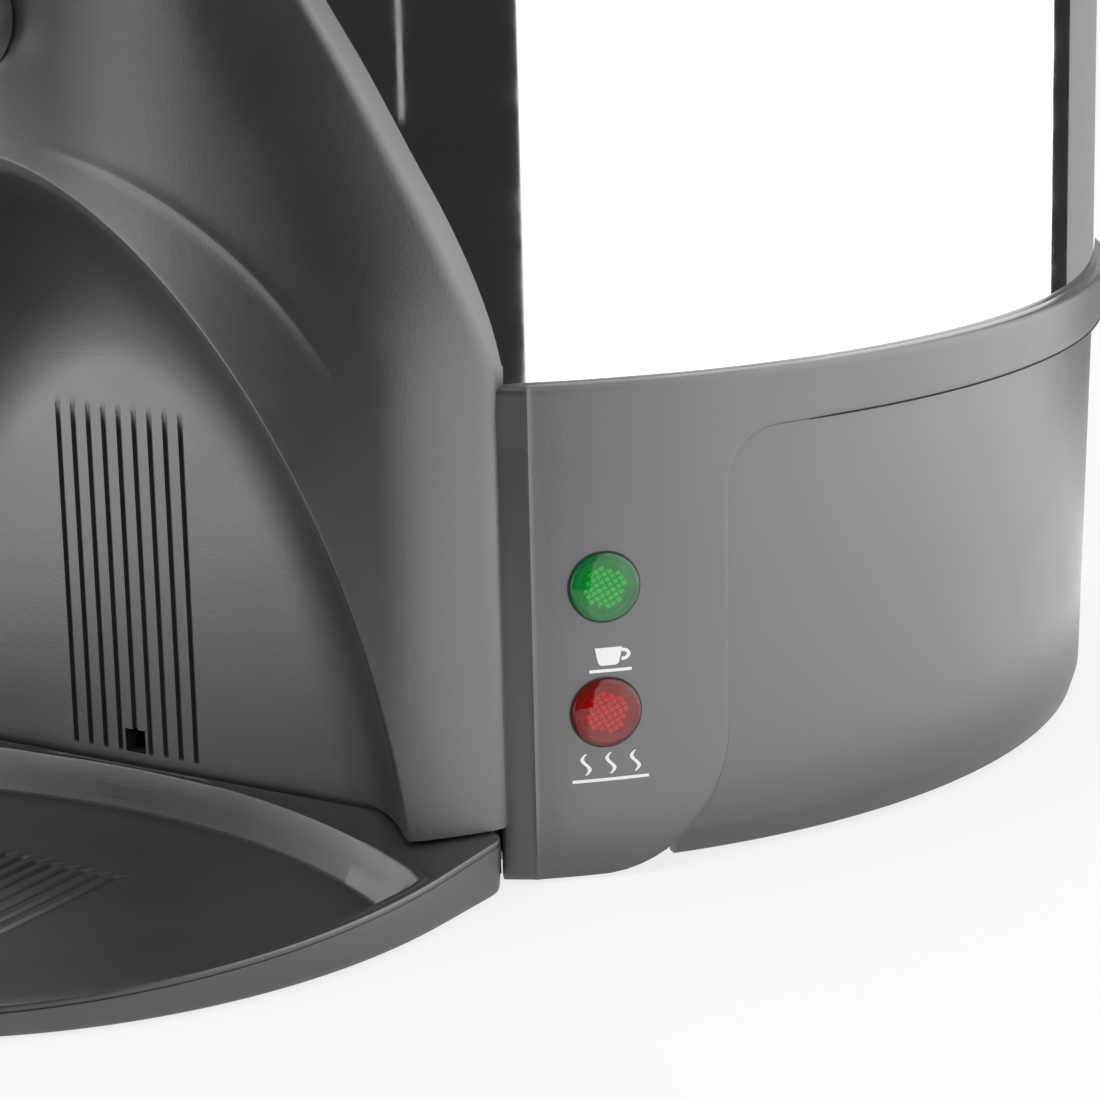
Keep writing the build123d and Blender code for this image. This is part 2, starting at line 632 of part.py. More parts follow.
def tower_plan(inset):
    """Plan of the tower: a circular front that flares in to the seam at each side."""
    r = TOWER_R - inset
    seam_az = WING_EDGE_AZ - 0.1 - inset * 0.5
    seam_r = WING_R_TOP - inset
    left, right = polar(r, -TOWER_FLARE_AZ), polar(r, TOWER_FLARE_AZ)
    seam_left, seam_right = polar(seam_r, -seam_az), polar(seam_r, seam_az)
    front = ThreePointArc(left, (0, -r), right)
    sides = Polyline(right, seam_right, (0, 0), seam_left, left)
    return make_face(front + sides)


def tower_front(inset, low):
    """Front view of the tower: a broad foot that draws in to a narrow column."""
    top = TOWER_TOP - inset
    half = COLUMN_HALF_W - inset
    spread = SEAM_X + TOWER_FOOT_LAP - COLUMN_HALF_W
    sides = []
    for sign in (-1, 1):
        edge = [(sign * (half + share * spread), COLLAR_TOP + rise) for share, rise in TOWER_EDGE]
        curve = Spline(*edge, (sign * half, COLUMN_START), tangents=[(0, 1), (0, 1)])
        foot_x = edge[0][0]
        sides.append(Line((foot_x, low), edge[0]) + curve)
    corner = COLUMN_CORNER_R - inset
    head = FilletPolyline((-half, COLUMN_START), (-half, top), (half, top), (half, COLUMN_START),
                          radius=corner)
    foot = Line((-edge[0][0], low), (edge[0][0], low))
    return make_face(sides[0] + head + sides[1] + foot)


def tower_block(inset, low):
    plan = Pos(0, 0, low) * extrude(tower_plan(inset), TOWER_TOP - low)
    front = extrude(Plane.XZ * tower_front(inset, low), 200)
    return plan & front


def tower_shell():
    skin = tower_block(0, TOWER_BOTTOM) - tower_block(TOWER_SKIN, TOWER_BOTTOM + PLATE)
    skin -= disc(DRUM_R + FIT, DRUM_BOTTOM - 0.5, TOWER_TOP + 10)
    skin -= disc(WING_R_TOP - TOWER_RETURN, 0, DRUM_BOTTOM)
    rear = block(400, (NICHE_WALL_Y + PLATE, 400), (-10, 400))
    front_block = Pos(0, 0, TOWER_BOTTOM) * extrude(tower_plan(0), 150)
    bowl = (niche_void(PLATE) & front_block) - rear
    shell = skin + bowl
    wall_z = (NICHE_WALL_FOOT, TOWER_BOTTOM + PLATE)
    wall_y = (NICHE_WALL_Y, NICHE_WALL_Y + PLATE)
    shell += block(2 * NICHE_WALL_HALF_W, wall_y, wall_z)
    shell -= niche_void() - block(400, (NICHE_WALL_Y, 400), (-200, 400))
    first = -(GROOVE_COUNT - 1) / 2 * GROOVE_PITCH
    for i in range(GROOVE_COUNT):
        groove_y = (NICHE_WALL_Y - 1, NICHE_WALL_Y + GROOVE_DEPTH)
        shell -= block(GROOVE_W, groove_y, (GROOVE_BOTTOM, GROOVE_TOP), first + i * GROOVE_PITCH)
    shell -= block(DRAIN_W, (NICHE_WALL_Y - 1, NICHE_WALL_Y + PLATE + 1), (DRAIN_BOTTOM, DRAIN_TOP))
    slot_y = (NICHE_WALL_Y - 1, NICHE_WALL_Y + PLATE + 1)
    slot_z = (TONGUE_LOW - SLIDE_FIT, TONGUE_HIGH + SLIDE_FIT)
    shell -= block(2 * (TONGUE_HALF_W + 2 * SLIDE_FIT), slot_y, slot_z)
    for x in (-TOWER_SCREW_X, TOWER_SCREW_X):
        for z in TOWER_SCREW_Z:
            boss = forward_rod(BOSS_R, -DRUM_R + 10, -TOWER_R + 1, x, z)
            shell += boss & tube(TOWER_R - 1, DRUM_R + FIT, z - 10, z + 10)
            shell -= forward_rod(SCREW_R, -DRUM_R + 10, -TOWER_R + TOWER_SKIN, x, z)
    shell -= forward_rod(SHANK_R + FIT, -DRUM_R + 10, -TOWER_R - 5, 0, TAP_Z)
    shell -= forward_rod(SCREW_R, -DRUM_R + 10, -TOWER_R - 5, 0, BRACKET_SCREW_Z)
    return shell


def tower_screw(x, z):
    wall = -sqrt((DRUM_R - JACKET_WALL) ** 2 - (abs(x) + SCREW_HEAD_R + FIT) ** 2) + FIT
    head = forward_rod(SCREW_HEAD_R, wall + SCREW_HEAD_T, wall, x, z)
    return head + forward_rod(SCREW_R, wall + 0.5, -TOWER_R + TOWER_SKIN + 0.4, x, z)


# ---------------------------------------------------------------- drip tray

def tray_plan(inset):
    """Tray from above: half an ellipse in front, straight sides running back to the wall."""
    a, b = TRAY_HALF_W - inset, TRAY_DEPTH - inset
    back = TRAY_BACK_Y - inset
    oval = Pos(0, TRAY_CENTRE_Y) * Ellipse(a, b)
    front = oval & (Pos(0, TRAY_CENTRE_Y - TRAY_DEPTH) * Rectangle(4 * a, 2 * TRAY_DEPTH))
    rear_depth = back - TRAY_CENTRE_Y
    rear = Pos(0, TRAY_CENTRE_Y + rear_depth / 2) * Rectangle(2 * a, rear_depth)
    return front + rear


def below_rim():
    """Everything under the tray's top plane, which falls slightly towards the front."""
    front, back = TRAY_CENTRE_Y - 2 * TRAY_DEPTH, TRAY_BACK_Y + TRAY_DEPTH
    high = [(y, TRAY_RIM + TRAY_FALL * (y - TRAY_BACK_Y)) for y in (back, front)]
    points = [(front, -5), (back, -5), high[0], high[1]]
    return Pos(-2 * TRAY_HALF_W, 0, 0) * extrude(Plane.YZ * outline(points), 4 * TRAY_HALF_W)


def drip_tray():
    solid = Pos(0, 0, TRAY_BOTTOM) * extrude(tray_plan(0), 2 * TRAY_RIM)
    body = solid & below_rim()
    land = disc(TRAY_LAND_R, -5, 3 * TRAY_RIM, 0, NICHE_WALL_Y - TRAY_LAND_STEP - TRAY_LAND_R)
    hollow = Pos(0, 0, TRAY_FLOOR) * extrude(tray_plan(TRAY_WALL), 2 * TRAY_RIM)
    body -= hollow & land
    first = -(RIB_COUNT - 1) / 2 * RIB_PITCH
    for i in range(RIB_COUNT):
        ribs = block(RIB_W, (RIB_FRONT_Y, RIB_BACK_Y), (TRAY_FLOOR - RIB_DEPTH, TRAY_FLOOR + 1),
                     first + i * RIB_PITCH)
        body -= ribs
    tongue = block(2 * TONGUE_HALF_W, (TRAY_BACK_Y - 1, TONGUE_END_Y), (TONGUE_LOW, TONGUE_HIGH))
    return body + tongue


# ---------------------------------------------------------------- tap

def tap_body():
    """Chromed tap: shank, flange, gauge socket, valve barrel and spout in one casting."""
    face = -TOWER_R - FIT
    body = forward_rod(SHANK_R, SHANK_END_Y, face - 1, 0, TAP_Z)
    body += forward_rod(SHANK_R + FLANGE_LAP, face, face - FLANGE_DEPTH, 0, TAP_Z)
    body += forward_rod(SHANK_R + 0.6, face - 1, TAP_Y, 0, TAP_Z)
    body += disc(GAUGE_BOSS_R, TAP_Z - GAUGE_BOSS_R, GAUGE_BOSS_TOP, 0, GAUGE_Y)
    barrel_low = TAP_Z - BARREL_LOW
    body += disc(BARREL_R, barrel_low, BARREL_TOP, 0, TAP_Y)
    spout = [(0, SPOUT_BOTTOM), (SPOUT_R, SPOUT_BOTTOM), (SPOUT_R, barrel_low - 7)]
    spout += [(BARREL_R, barrel_low), (BARREL_R, barrel_low + 2), (0, barrel_low + 2)]
    body += turned(spout, y=TAP_Y)
    body -= disc(SPOUT_BORE_R, SPOUT_BOTTOM - 1, SEAT_Z + 1, 0, TAP_Y)
    body -= disc(CHAMBER_R, SEAT_Z, BARREL_TOP + 1, 0, TAP_Y)
    body -= forward_rod(WATERWAY_R, SHANK_END_Y + 1, TAP_Y + 2, 0, TAP_Z)
    body -= disc(GLASS_BORE_R, TAP_Z, GAUGE_BOSS_TOP, 0, GAUGE_Y)
    body -= disc(GLASS_R + FIT, GLASS_LOW - FIT, GAUGE_BOSS_TOP + 1, 0, GAUGE_Y)
    body -= disc(SEAL_R + FIT / 2, SEAL_LOW, GAUGE_BOSS_TOP + 1, 0, GAUGE_Y)
    return body


def shank_seal(y_back, y_front, tank_side):
    """Rubber washer, moulded to the curve of the tank wall that it presses on."""
    ring = forward_rod(SEAL_OUTER_R, y_back, y_front, 0, TAP_Z)
    ring -= forward_rod(SHANK_R + FIT / 2, y_back + 1, y_front - 1, 0, TAP_Z)
    r = TANK_R + TOUCH if tank_side == "outside" else TANK_BORE_R - TOUCH
    bore = disc(r, TAP_Z - 2 * SEAL_OUTER_R, TAP_Z + 2 * SEAL_OUTER_R)
    return ring - bore if tank_side == "outside" else ring & bore


def spacer_sleeve():
    """Keeps the tower skin and the tank wall apart when the locknut is drawn up."""
    y_back = -TANK_R - OUTER_SEAL_T
    y_front = -sqrt((TOWER_R - TOWER_SKIN) ** 2 - SLEEVE_R ** 2) + TOUCH
    sleeve = forward_rod(SLEEVE_R, y_back, y_front, 0, TAP_Z)
    return sleeve - forward_rod(SHANK_R + FIT / 2, y_back + 1, y_front - 1, 0, TAP_Z)


def shank_locknut():
    y_front = -TANK_R + TANK_WALL + INNER_SEAL_T
    hexagon = RegularPolygon(SEAL_OUTER_R + 1.0, 6)
    nut = Pos(0, y_front, TAP_Z) * Rot(-90, 0, 0) * extrude(hexagon, LOCKNUT_T)
    return nut - forward_rod(SHANK_R, y_front + 2 * LOCKNUT_T, y_front - LOCKNUT_T, 0, TAP_Z)


def bonnet():
    """Screwed cap of the valve barrel; the lever's cam works on its top face."""
    cap = turned([(0, BARREL_TOP), (BONNET_R, BARREL_TOP), (BONNET_R, BONNET_TOP), (0, BONNET_TOP)],
                 [((BONNET_R, BONNET_TOP), 1.5)], y=TAP_Y)
    cap += disc(CHAMBER_R - FIT / 2, BARREL_TOP - BONNET_PLUG, BARREL_TOP + 1, 0, TAP_Y)
    cap -= disc(STEM_R + STEM_FIT, BARREL_TOP - 10, BONNET_TOP + 1, 0, TAP_Y)
    return cap


def valve_stem():
    stem = disc(STEM_R, SEAT_Z + 2, PIVOT_Z + 3.2, 0, TAP_Y)
    plate_low = SEAT_Z + CUP_T
    stem += disc(CUP_R - 0.8, plate_low, plate_low + SPRING_PLATE_T, 0, TAP_Y)
    stem -= side_rod(PIN_R + STEM_FIT, LEVER_W, TAP_Y, PIVOT_Z)
    return stem


def seat_cup():
    """Silicone cup that closes the outlet."""
    low = SEAT_Z + TOUCH
    cup = turned([(0, low), (CUP_R - 1, low), (CUP_R, SEAT_Z + 1.5),
                  (CUP_R, SEAT_Z + CUP_T), (0, SEAT_Z + CUP_T)], y=TAP_Y)
    return cup - disc(STEM_R, SEAT_Z + 2, SEAT_Z + 10, 0, TAP_Y)


def tap_spring():
    low = SEAT_Z + CUP_T + SPRING_PLATE_T + SPRING_WIRE_R + TOUCH
    high = BARREL_TOP - BONNET_PLUG - SPRING_WIRE_R - TOUCH
    height = high - low
    path = Helix(height / SPRING_TURNS, height, SPRING_R)
    wire = sweep(Plane(path @ 0, z_dir=path % 0) * Circle(SPRING_WIRE_R), path=path, is_frenet=True)
    return Pos(0, TAP_Y, low) * wire


def tap_lever():
    """Black lever with a forked, off-centre cam that lifts the stem as it is pulled forward."""
    cam_r = PIVOT_Z - BONNET_TOP - CAM_GAP
    half = LEVER_W / 2
    cam = side_rod(cam_r, half, TAP_Y - CAM_OFFSET, PIVOT_Z)
    hub = side_rod(cam_r - 1.2, half, TAP_Y, PIVOT_Z)
    waist_z = PIVOT_Z + LEVER_H / 2
    back_waist, front_waist = (TAP_Y + 4.6, waist_z), (TAP_Y - 5.6, waist_z)
    back_top, front_top = (TAP_Y + 6.0, LEVER_TOP), (TAP_Y - 7.0, LEVER_TOP)
    side = [(TAP_Y + 5.4, PIVOT_Z), back_waist, back_top, front_top, front_waist]
    side += [(TAP_Y - CAM_OFFSET - 5.0, PIVOT_Z + 2)]
    corners = [(back_top, 5.0), (front_top, 5.0), (back_waist, 20.0), (front_waist, 20.0)]
    grip = Pos(-half, 0, 0) * extrude(Plane.YZ * outline(side, corners), LEVER_W)
    lever = cam + hub + grip
    slot_top = PIVOT_Z + 9.0
    fork_reach = 3 * LEVER_W
    lever -= block(2 * FORK_HALF_W, (TAP_Y - fork_reach, TAP_Y + fork_reach), (PIVOT_Z - 20, slot_top))
    lever -= side_rod(PIN_R, LEVER_W, TAP_Y, PIVOT_Z)
    return lever


def lever_pin():
    return side_rod(PIN_R, LEVER_W / 2 - 0.2, TAP_Y, PIVOT_Z)


# ---------------------------------------------------------------- level gauge

def gauge_glass():
    return tube(GLASS_R, GLASS_BORE_R, GLASS_LOW, GLASS_HIGH, 0, GAUGE_Y)


def gauge_nut():
    low = GAUGE_BOSS_TOP + 0.1
    top = low + NUT_H
    nut = turned([(0, low), (NUT_R, low), (NUT_R, top - 3), (NUT_R - 2.5, top), (0, top)],
                 y=GAUGE_Y)
    return nut - disc(GLASS_R + FIT, low - 1, top + 1, 0, GAUGE_Y)


def gauge_seal(z_low, z_high):
    return tube(SEAL_R, GLASS_R + 0.02, z_low, z_high, 0, GAUGE_Y)


def gauge_bracket():
    """Head that holds the glass's upper end against the column."""
    back = -TOWER_R - FIT
    head = block(2 * BRACKET_HALF_W, (GAUGE_Y, back + 2), (BRACKET_LOW, BRACKET_HIGH))
    head += disc(BRACKET_HALF_W, BRACKET_LOW, BRACKET_HIGH, 0, GAUGE_Y)
    head -= disc(TOWER_R + FIT / 2, BRACKET_LOW - 1, BRACKET_HIGH + 1)
    head -= disc(GLASS_R + FIT, BRACKET_LOW - 1, GLASS_HIGH + FIT, 0, GAUGE_Y)
    head -= disc(SEAL_R + FIT / 2, BRACKET_LOW - 1, BRACKET_LOW + 5, 0, GAUGE_Y)
    head -= disc(1.0, GLASS_HIGH - 1, BRACKET_HIGH + 1, 0, GAUGE_Y)
    head -= forward_rod(SCREW_R, back + 5, GAUGE_Y + 3.0, 0, BRACKET_SCREW_Z)
    return head


def bracket_screw():
    wall = -TOWER_R + TOWER_SKIN + 0.15
    head = forward_rod(SCREW_HEAD_R, wall + SCREW_HEAD_T, wall, 0, BRACKET_SCREW_Z)
    return head + forward_rod(SCREW_R, wall + 0.5, GAUGE_Y + 4.0, 0, BRACKET_SCREW_Z)


def level_scale():
    """Thin label with the level marks, bedded on the column beside the glass."""
    x_low, x_high = SCALE_X
    strip = tube(TOWER_R + 0.02 + SCALE_T, TOWER_R + 0.02, SCALE_LOW, SCALE_HIGH)
    return strip & block(x_high - x_low, (-2 * TOWER_R, 0), (SCALE_LOW - 1, SCALE_HIGH + 1),
                         (x_low + x_high) / 2)


# ---------------------------------------------------------------- handles

def handle(middle_az):
    """Side handle: two posts and a grip bar, seated on round pads that follow the drum."""
    low_az, high_az = middle_az - HANDLE_SPREAD, middle_az + HANDLE_SPREAD
    path_points = [polar(DRUM_R - 4, low_az), polar(HANDLE_REACH_R, low_az)]
    path_points += [polar(HANDLE_REACH_R, high_az), polar(DRUM_R - 4, high_az)]
    path = FilletPolyline(*[(x, y, HANDLE_Z) for x, y in path_points], radius=HANDLE_BEND_R)
    section = RectangleRounded(HANDLE_BAR_H, HANDLE_BAR_W, HANDLE_CORNER_R)
    start = Plane(path @ 0, x_dir=(0, 0, 1), z_dir=path % 0)
    loop = sweep(start * section, path=path)
    for azimuth in (low_az, high_az):
        pad = radial_rod(azimuth, HANDLE_Z, HANDLE_PAD_R, DRUM_R - 4, DRUM_R + HANDLE_PAD_REACH)
        loop += pad
    loop -= disc(DRUM_R + TOUCH, HANDLE_Z - 3 * HANDLE_PAD_R, HANDLE_Z + 3 * HANDLE_PAD_R)
    for azimuth in (low_az, high_az):
        loop -= radial_rod(azimuth, HANDLE_Z, HANDLE_SCREW_R, DRUM_R - 10, HANDLE_SCREW_END + 1)
    return loop


def handle_screw(azimuth):
    wall = DRUM_R - JACKET_WALL - 0.3
    head = radial_rod(azimuth, HANDLE_Z, HANDLE_SCREW_HEAD_R, wall - 2.0, wall)
    return head + radial_rod(azimuth, HANDLE_Z, HANDLE_SCREW_R, wall - 0.5, HANDLE_SCREW_END)


# ---------------------------------------------------------------- lamps, switch, inlet, cut-out

def wing_radius(z):
    """Outside of the wing's wall at a height."""
    share = (z - WING_BOTTOM + 1) / (BASE_H + 3 - WING_BOTTOM)
    return WING_R_LOW + (WING_R_TOP - WING_R_LOW) * share


def lamp_lens(z):
    seat = wing_radius(z) + 0.1
    head = Cylinder(LAMP_R, LAMP_PROUD, align=LOW)
    head = fillet(head.edges().sort_by(Axis.Z)[-1], LAMP_PROUD * 0.6)
    lens = station(WING_CENTRE_AZ, z) * Pos(0, 0, seat) * head
    return lens + radial_rod(WING_CENTRE_AZ, z, LAMP_BODY_R, seat - 4.0, seat + 0.5)


def lamp_body(z):
    seat = wing_radius(z) + 0.1 - 4.0
    body = radial_rod(WING_CENTRE_AZ, z, LAMP_BODY_R, seat - LAMP_DEPTH + 4.0, seat)
    for shift in (-1.6, 1.6):
        body += radial_rod(WING_CENTRE_AZ, z, 0.4, seat - LAMP_DEPTH - 4, seat - 10, shift)
    return body


def lamp_clip(z):
    inside = wing_radius(z) - PLATE - 0.1
    clip = radial_rod(WING_CENTRE_AZ, z, LAMP_BODY_R + CLIP_W, inside - 2.0, inside - 0.1)
    return clip - radial_rod(WING_CENTRE_AZ, z, LAMP_BODY_R + TOUCH, inside - 10, inside + 10)


def switch_plane():
    face_r = wing_radius(SWITCH_Z) + 0.5
    return station(-WING_CENTRE_AZ, SWITCH_Z) * Pos(0, 0, face_r)


def switch_frame():
    """Bezel and housing of the rocker switch, with a round well for the rocker."""
    t, h = SWITCH_HOLE[0] - 2 * FIT, SWITCH_HOLE[1] - 2 * FIT
    bezel = Box(SWITCH_FRAME[0], SWITCH_FRAME[1], SWITCH_BEZEL_T, align=LOW)
    housing = Pos(0, 0, -SWITCH_DEPTH) * Box(t, h, SWITCH_DEPTH + 0.5, align=LOW)
    frame = bezel + housing
    frame -= Rot(0, 90, 0) * Cylinder(ROCKER_R + 0.4, ROCKER_W + 0.8)
    frame -= Rot(0, 90, 0) * Cylinder(1.25, ROCKER_W + 2.6)
    for x in (-3.5, 3.5):
        frame += Pos(x, 0, -SWITCH_DEPTH - 7) * Box(0.8, 4.8, 8, align=LOW)
    return switch_plane() * frame


def switch_rocker():
    barrel = Rot(0, 90, 0) * Cylinder(ROCKER_R, ROCKER_W)
    crown = [(-9, -4.5), (9, -4.5), (9, 3.2), (0, 1.4), (-9, 3.2)]
    shape = extrude(Plane.YZ * outline(crown), ROCKER_W)
    rocker = barrel & (Pos(-ROCKER_W / 2, 0, 0) * shape)
    rocker += Rot(0, 90, 0) * Cylinder(1.2, ROCKER_W + 1.8)
    return switch_plane() * Rot(ROCKER_TILT, 0, 0) * rocker


def mains_inlet():
    """Appliance inlet with a shrouded socket; its flange is screwed to the rear shell."""
    x, z = INLET_BODY
    bore_x, bore_z = x - 2 * INLET_WALL, z - 2 * INLET_WALL
    flange_y = INLET_FACE_Y + INLET_FLANGE_T / 2
    flange = Pos(0, flange_y, INLET_Z) * Box(INLET_FLANGE[0], INLET_FLANGE_T, INLET_FLANGE[1])
    body = Pos(0, INLET_FACE_Y - 10.5, INLET_Z) * Box(x, 21.5, z)
    inlet = flange + body
    inlet -= Pos(0, INLET_FACE_Y - 1.75, INLET_Z) * Box(bore_x, 23.5, bore_z)
    for sx in (-INLET_SCREW_X, INLET_SCREW_X):
        inlet -= forward_rod(SCREW_R + FIT, INLET_FACE_Y + 5, INLET_FACE_Y - 5, sx, INLET_Z)
    for px, pz in INLET_PINS:
        inlet -= Pos(px, INLET_FACE_Y - 17, INLET_Z + pz) * Box(PIN_SIZE[0], 20.0, PIN_SIZE[2])
    return inlet


def inlet_pin(px, pz):
    return Pos(px, INLET_FACE_Y - 13.5, INLET_Z + pz) * Box(*PIN_SIZE)


def inlet_screw(x):
    face = INLET_FACE_Y + INLET_FLANGE_T
    head = forward_rod(SCREW_HEAD_R - 0.2, face + 1.5, face, x, INLET_Z)
    return head + forward_rod(SCREW_R, face + 0.5, face - 11, x, INLET_Z)


def thermal_cutout():
    """Boil-dry cut-out on the base plate, with a bore for its reset button."""
    body = disc(CUTOUT_R, FLANGE_Z, FLANGE_Z + 17, RESET_X, RESET_Y)
    body -= disc(RESET_R + FIT, FLANGE_Z - 1, FLANGE_Z + 9, RESET_X, RESET_Y)
    for x in (-6.0, 6.0):
        body += Pos(RESET_X + x, RESET_Y, FLANGE_Z + 16) * Box(0.8, 6.0, 8, align=LOW)
    return body


def reset_button():
    return disc(RESET_R, FLANGE_Z - PLATE_T - 0.9, FLANGE_Z + 6.0, RESET_X, RESET_Y)


def terminal_block():
    body = block(TERMINAL_W, TERMINAL_Y, (FLANGE_Z, FLANGE_Z + TERMINAL_H), TERMINAL_X[1])
    for x in TERMINAL_X:
        body -= disc(TERMINAL_SCREW_R + 0.3, FLANGE_Z + 9, FLANGE_Z + 16, x, sum(TERMINAL_Y) / 2)
    return body


def terminal_screw(x):
    return disc(TERMINAL_SCREW_R, FLANGE_Z + 9, FLANGE_Z + 13.5, x, sum(TERMINAL_Y) / 2)


def earth_stud():
    x, y = TERMINAL_X[0] - 28, TERMINAL_Y[0]
    return disc(2.0, FLANGE_Z, FLANGE_Z + 12, x, y) + disc(4.2, FLANGE_Z, FLANGE_Z + 3, x, y)


def lead(points, radius, bend):
    """Internal wire along straight runs and tangent bends."""
    path = FilletPolyline(*points, radius=bend)
    start = Plane(path @ 0, z_dir=path % 0)
    return sweep(start * Circle(radius), path=path)


def internal_leads():
    z = FLANGE_Z + 11
    block_front, block_back = TERMINAL_Y[0] - TOUCH, TERMINAL_Y[1] + TOUCH
    inlet_end = INLET_FACE_Y - PIN_SIZE[1] - 2.3
    leads = []
    for x, (px, pz) in zip(TERMINAL_X, INLET_PINS):
        points = [(px, inlet_end, INLET_Z + pz), (px, inlet_end - 12, INLET_Z + pz)]
        points += [(x, block_back + 22, z), (x, block_back, z)]
        leads.append(lead(points, LEAD_R, 6.0))
    end_z = HEATER_LOW - HEATER_PIN_H - TOUCH
    for x, heater_x in ((TERMINAL_X[0], -HEATER_PIN_X), (TERMINAL_X[2], HEATER_PIN_X)):
        points = [(x, block_front, z), (x, block_front - 16, z), (heater_x, 6, z + 20)]
        points += [(heater_x, 0, z + 40), (heater_x, 0, end_z)]
        leads.append(lead(points, LEAD_R, 7.0))
    return leads


# ---------------------------------------------------------------- percolator set

def pump_tube():
    """Riser tube with the bell that stands over the heated middle of the tank floor."""
    floor = TANK_FLOOR + TANK_WALL
    riser = tube(TUBE_R, TUBE_R - TUBE_WALL, floor + BELL_H - 1, TUBE_TOP)
    points = [(BELL_R, floor), (BELL_R + 1, floor), (BELL_R - 3, floor + BELL_H - 2)]
    points += [(TUBE_R, floor + BELL_H), (TUBE_R - TUBE_WALL, floor + BELL_H)]
    points += [(TUBE_R - TUBE_WALL, floor + BELL_H - 1), (BELL_R - 4, floor + BELL_H - 3.4)]
    bell = turned(points)
    stop = tube(TUBE_R + 2.2, TUBE_R - 0.1, BASKET_LOW - 2.0, BASKET_LOW - TOUCH)
    for azimuth in (0, 90, 180, 270):
        x, y = polar(BELL_R, azimuth)
        bell -= disc(2.0, floor - 1, floor + 1.6, x, y)
    return riser + bell + stop


def filter_basket():
    sleeve = BASKET_SLEEVE_R
    points = [(sleeve - BASKET_WALL, BASKET_LOW), (BASKET_R, BASKET_LOW), (BASKET_R, BASKET_HIGH)]
    points += [(BASKET_R - BASKET_WALL, BASKET_HIGH)]
    points += [(BASKET_R - BASKET_WALL, BASKET_LOW + BASKET_FLOOR_T)]
    points += [(sleeve, BASKET_LOW + BASKET_FLOOR_T), (sleeve, BASKET_HIGH - 4)]
    points += [(sleeve - BASKET_WALL, BASKET_HIGH - 4)]
    basket = turned(points)
    return basket - strainer_holes(BASKET_LOW - 1, BASKET_LOW + 2)


def strainer_holes(z_low, z_high):
    holes = []
    for ring in range(5):
        radius = 18.0 + 12.0 * ring
        count = 8 + 6 * ring
        for i in range(count):
            x, y = polar(radius, 360.0 * i / count)
            holes.append(disc(PERCOLATOR_HOLE_R, z_low, z_high, x, y))
    return holes


def basket_cover():
    """Spreader plate that drops into the basket's mouth."""
    z = BASKET_HIGH + TOUCH
    plate = tube(BASKET_R + 1.2, TUBE_R + 0.8, z, z + 0.8)
    grip = tube(12.0, 11.2, z + 0.7, z + 5)
    return plate + grip - strainer_holes(z - 1, z + 2)


def build():
    tank_in = -TANK_BORE_R
    return {
        "drum_jacket": drum_jacket(),
        "inner_tank": inner_tank(),
        "heater_plate": heater_plate(),
        "heater_ring": heater_ring(),
        "keep_warm_element": keep_warm_element(),
        "thermostat": thermostat(),
        "lid_shell": lid_shell(),
        "lid_knob": lid_knob(),
        "knob_washer": knob_washer(),
        "knob_screw": knob_screw(),
        "base_collar": base_collar(),
        "rear_shell": rear_shell(),
        "base_plate": base_plate(),
        "feet": [foot(x, y) for x, y in foot_places()],
        "base_screws": [base_screw(x, y) for x, y in base_screw_places()],
        "tower_shell": tower_shell(),
        "tower_screws": [tower_screw(x, z) for x in (-TOWER_SCREW_X, TOWER_SCREW_X)
                         for z in TOWER_SCREW_Z],
        "drip_tray": drip_tray(),
        "tap_body": tap_body(),
        "shank_seal_outer": shank_seal(-TANK_R + 2, -TANK_R - OUTER_SEAL_T + TOUCH, "outside"),
        "shank_seal_inner": shank_seal(tank_in + INNER_SEAL_T - TOUCH, tank_in - 2, "inside"),
        "spacer_sleeve": spacer_sleeve(),
        "shank_locknut": shank_locknut(),
        "tap_bonnet": bonnet(),
        "valve_stem": valve_stem(),
        "seat_cup": seat_cup(),
        "tap_spring": tap_spring(),
        "tap_lever": tap_lever(),
        "lever_pin": lever_pin(),
        "gauge_glass": gauge_glass(),
        "gauge_nut": gauge_nut(),
        "gauge_seal_lower": gauge_seal(SEAL_LOW + 0.1, GAUGE_BOSS_TOP - 0.1),
        "gauge_seal_upper": gauge_seal(BRACKET_LOW + 0.3, BRACKET_LOW + 4.7),
        "gauge_bracket": gauge_bracket(),
        "bracket_screw": bracket_screw(),
        "level_scale": level_scale(),
        "handle_right": handle(90),
        "handle_left": handle(-90),
        "handle_screws": [handle_screw(azimuth) for azimuth in HANDLE_AZIMUTHS],
        "lamp_lens_upper": lamp_lens(LAMP_Z[0]),
        "lamp_lens_lower": lamp_lens(LAMP_Z[1]),
        "lamp_bodies": [lamp_body(z) for z in LAMP_Z],
        "lamp_clips": [lamp_clip(z) for z in LAMP_Z],
        "switch_frame": switch_frame(),
        "switch_rocker": switch_rocker(),
        "mains_inlet": mains_inlet(),
        "inlet_pins": [inlet_pin(px, pz) for px, pz in INLET_PINS],
        "inlet_screws": [inlet_screw(x) for x in (-INLET_SCREW_X, INLET_SCREW_X)],
        "thermal_cutout": thermal_cutout(),
        "reset_button": reset_button(),
        "terminal_block": terminal_block(),
        "terminal_screws": [terminal_screw(x) for x in TERMINAL_X],
        "earth_stud": earth_stud(),
        "internal_leads": internal_leads(),
        "pump_tube": pump_tube(),
        "filter_basket": filter_basket(),
        "basket_cover": basket_cover(),
    }


def main():
    os.makedirs("parts", exist_ok=True)
    for name, shape in build().items():
        pieces = shape if isinstance(shape, list) else [shape]
        solids = [solid for piece in pieces for solid in piece.solids()]
        export_step(Compound(solids) if len(solids) > 1 else solids[0], f"parts/{name}.step")


main()
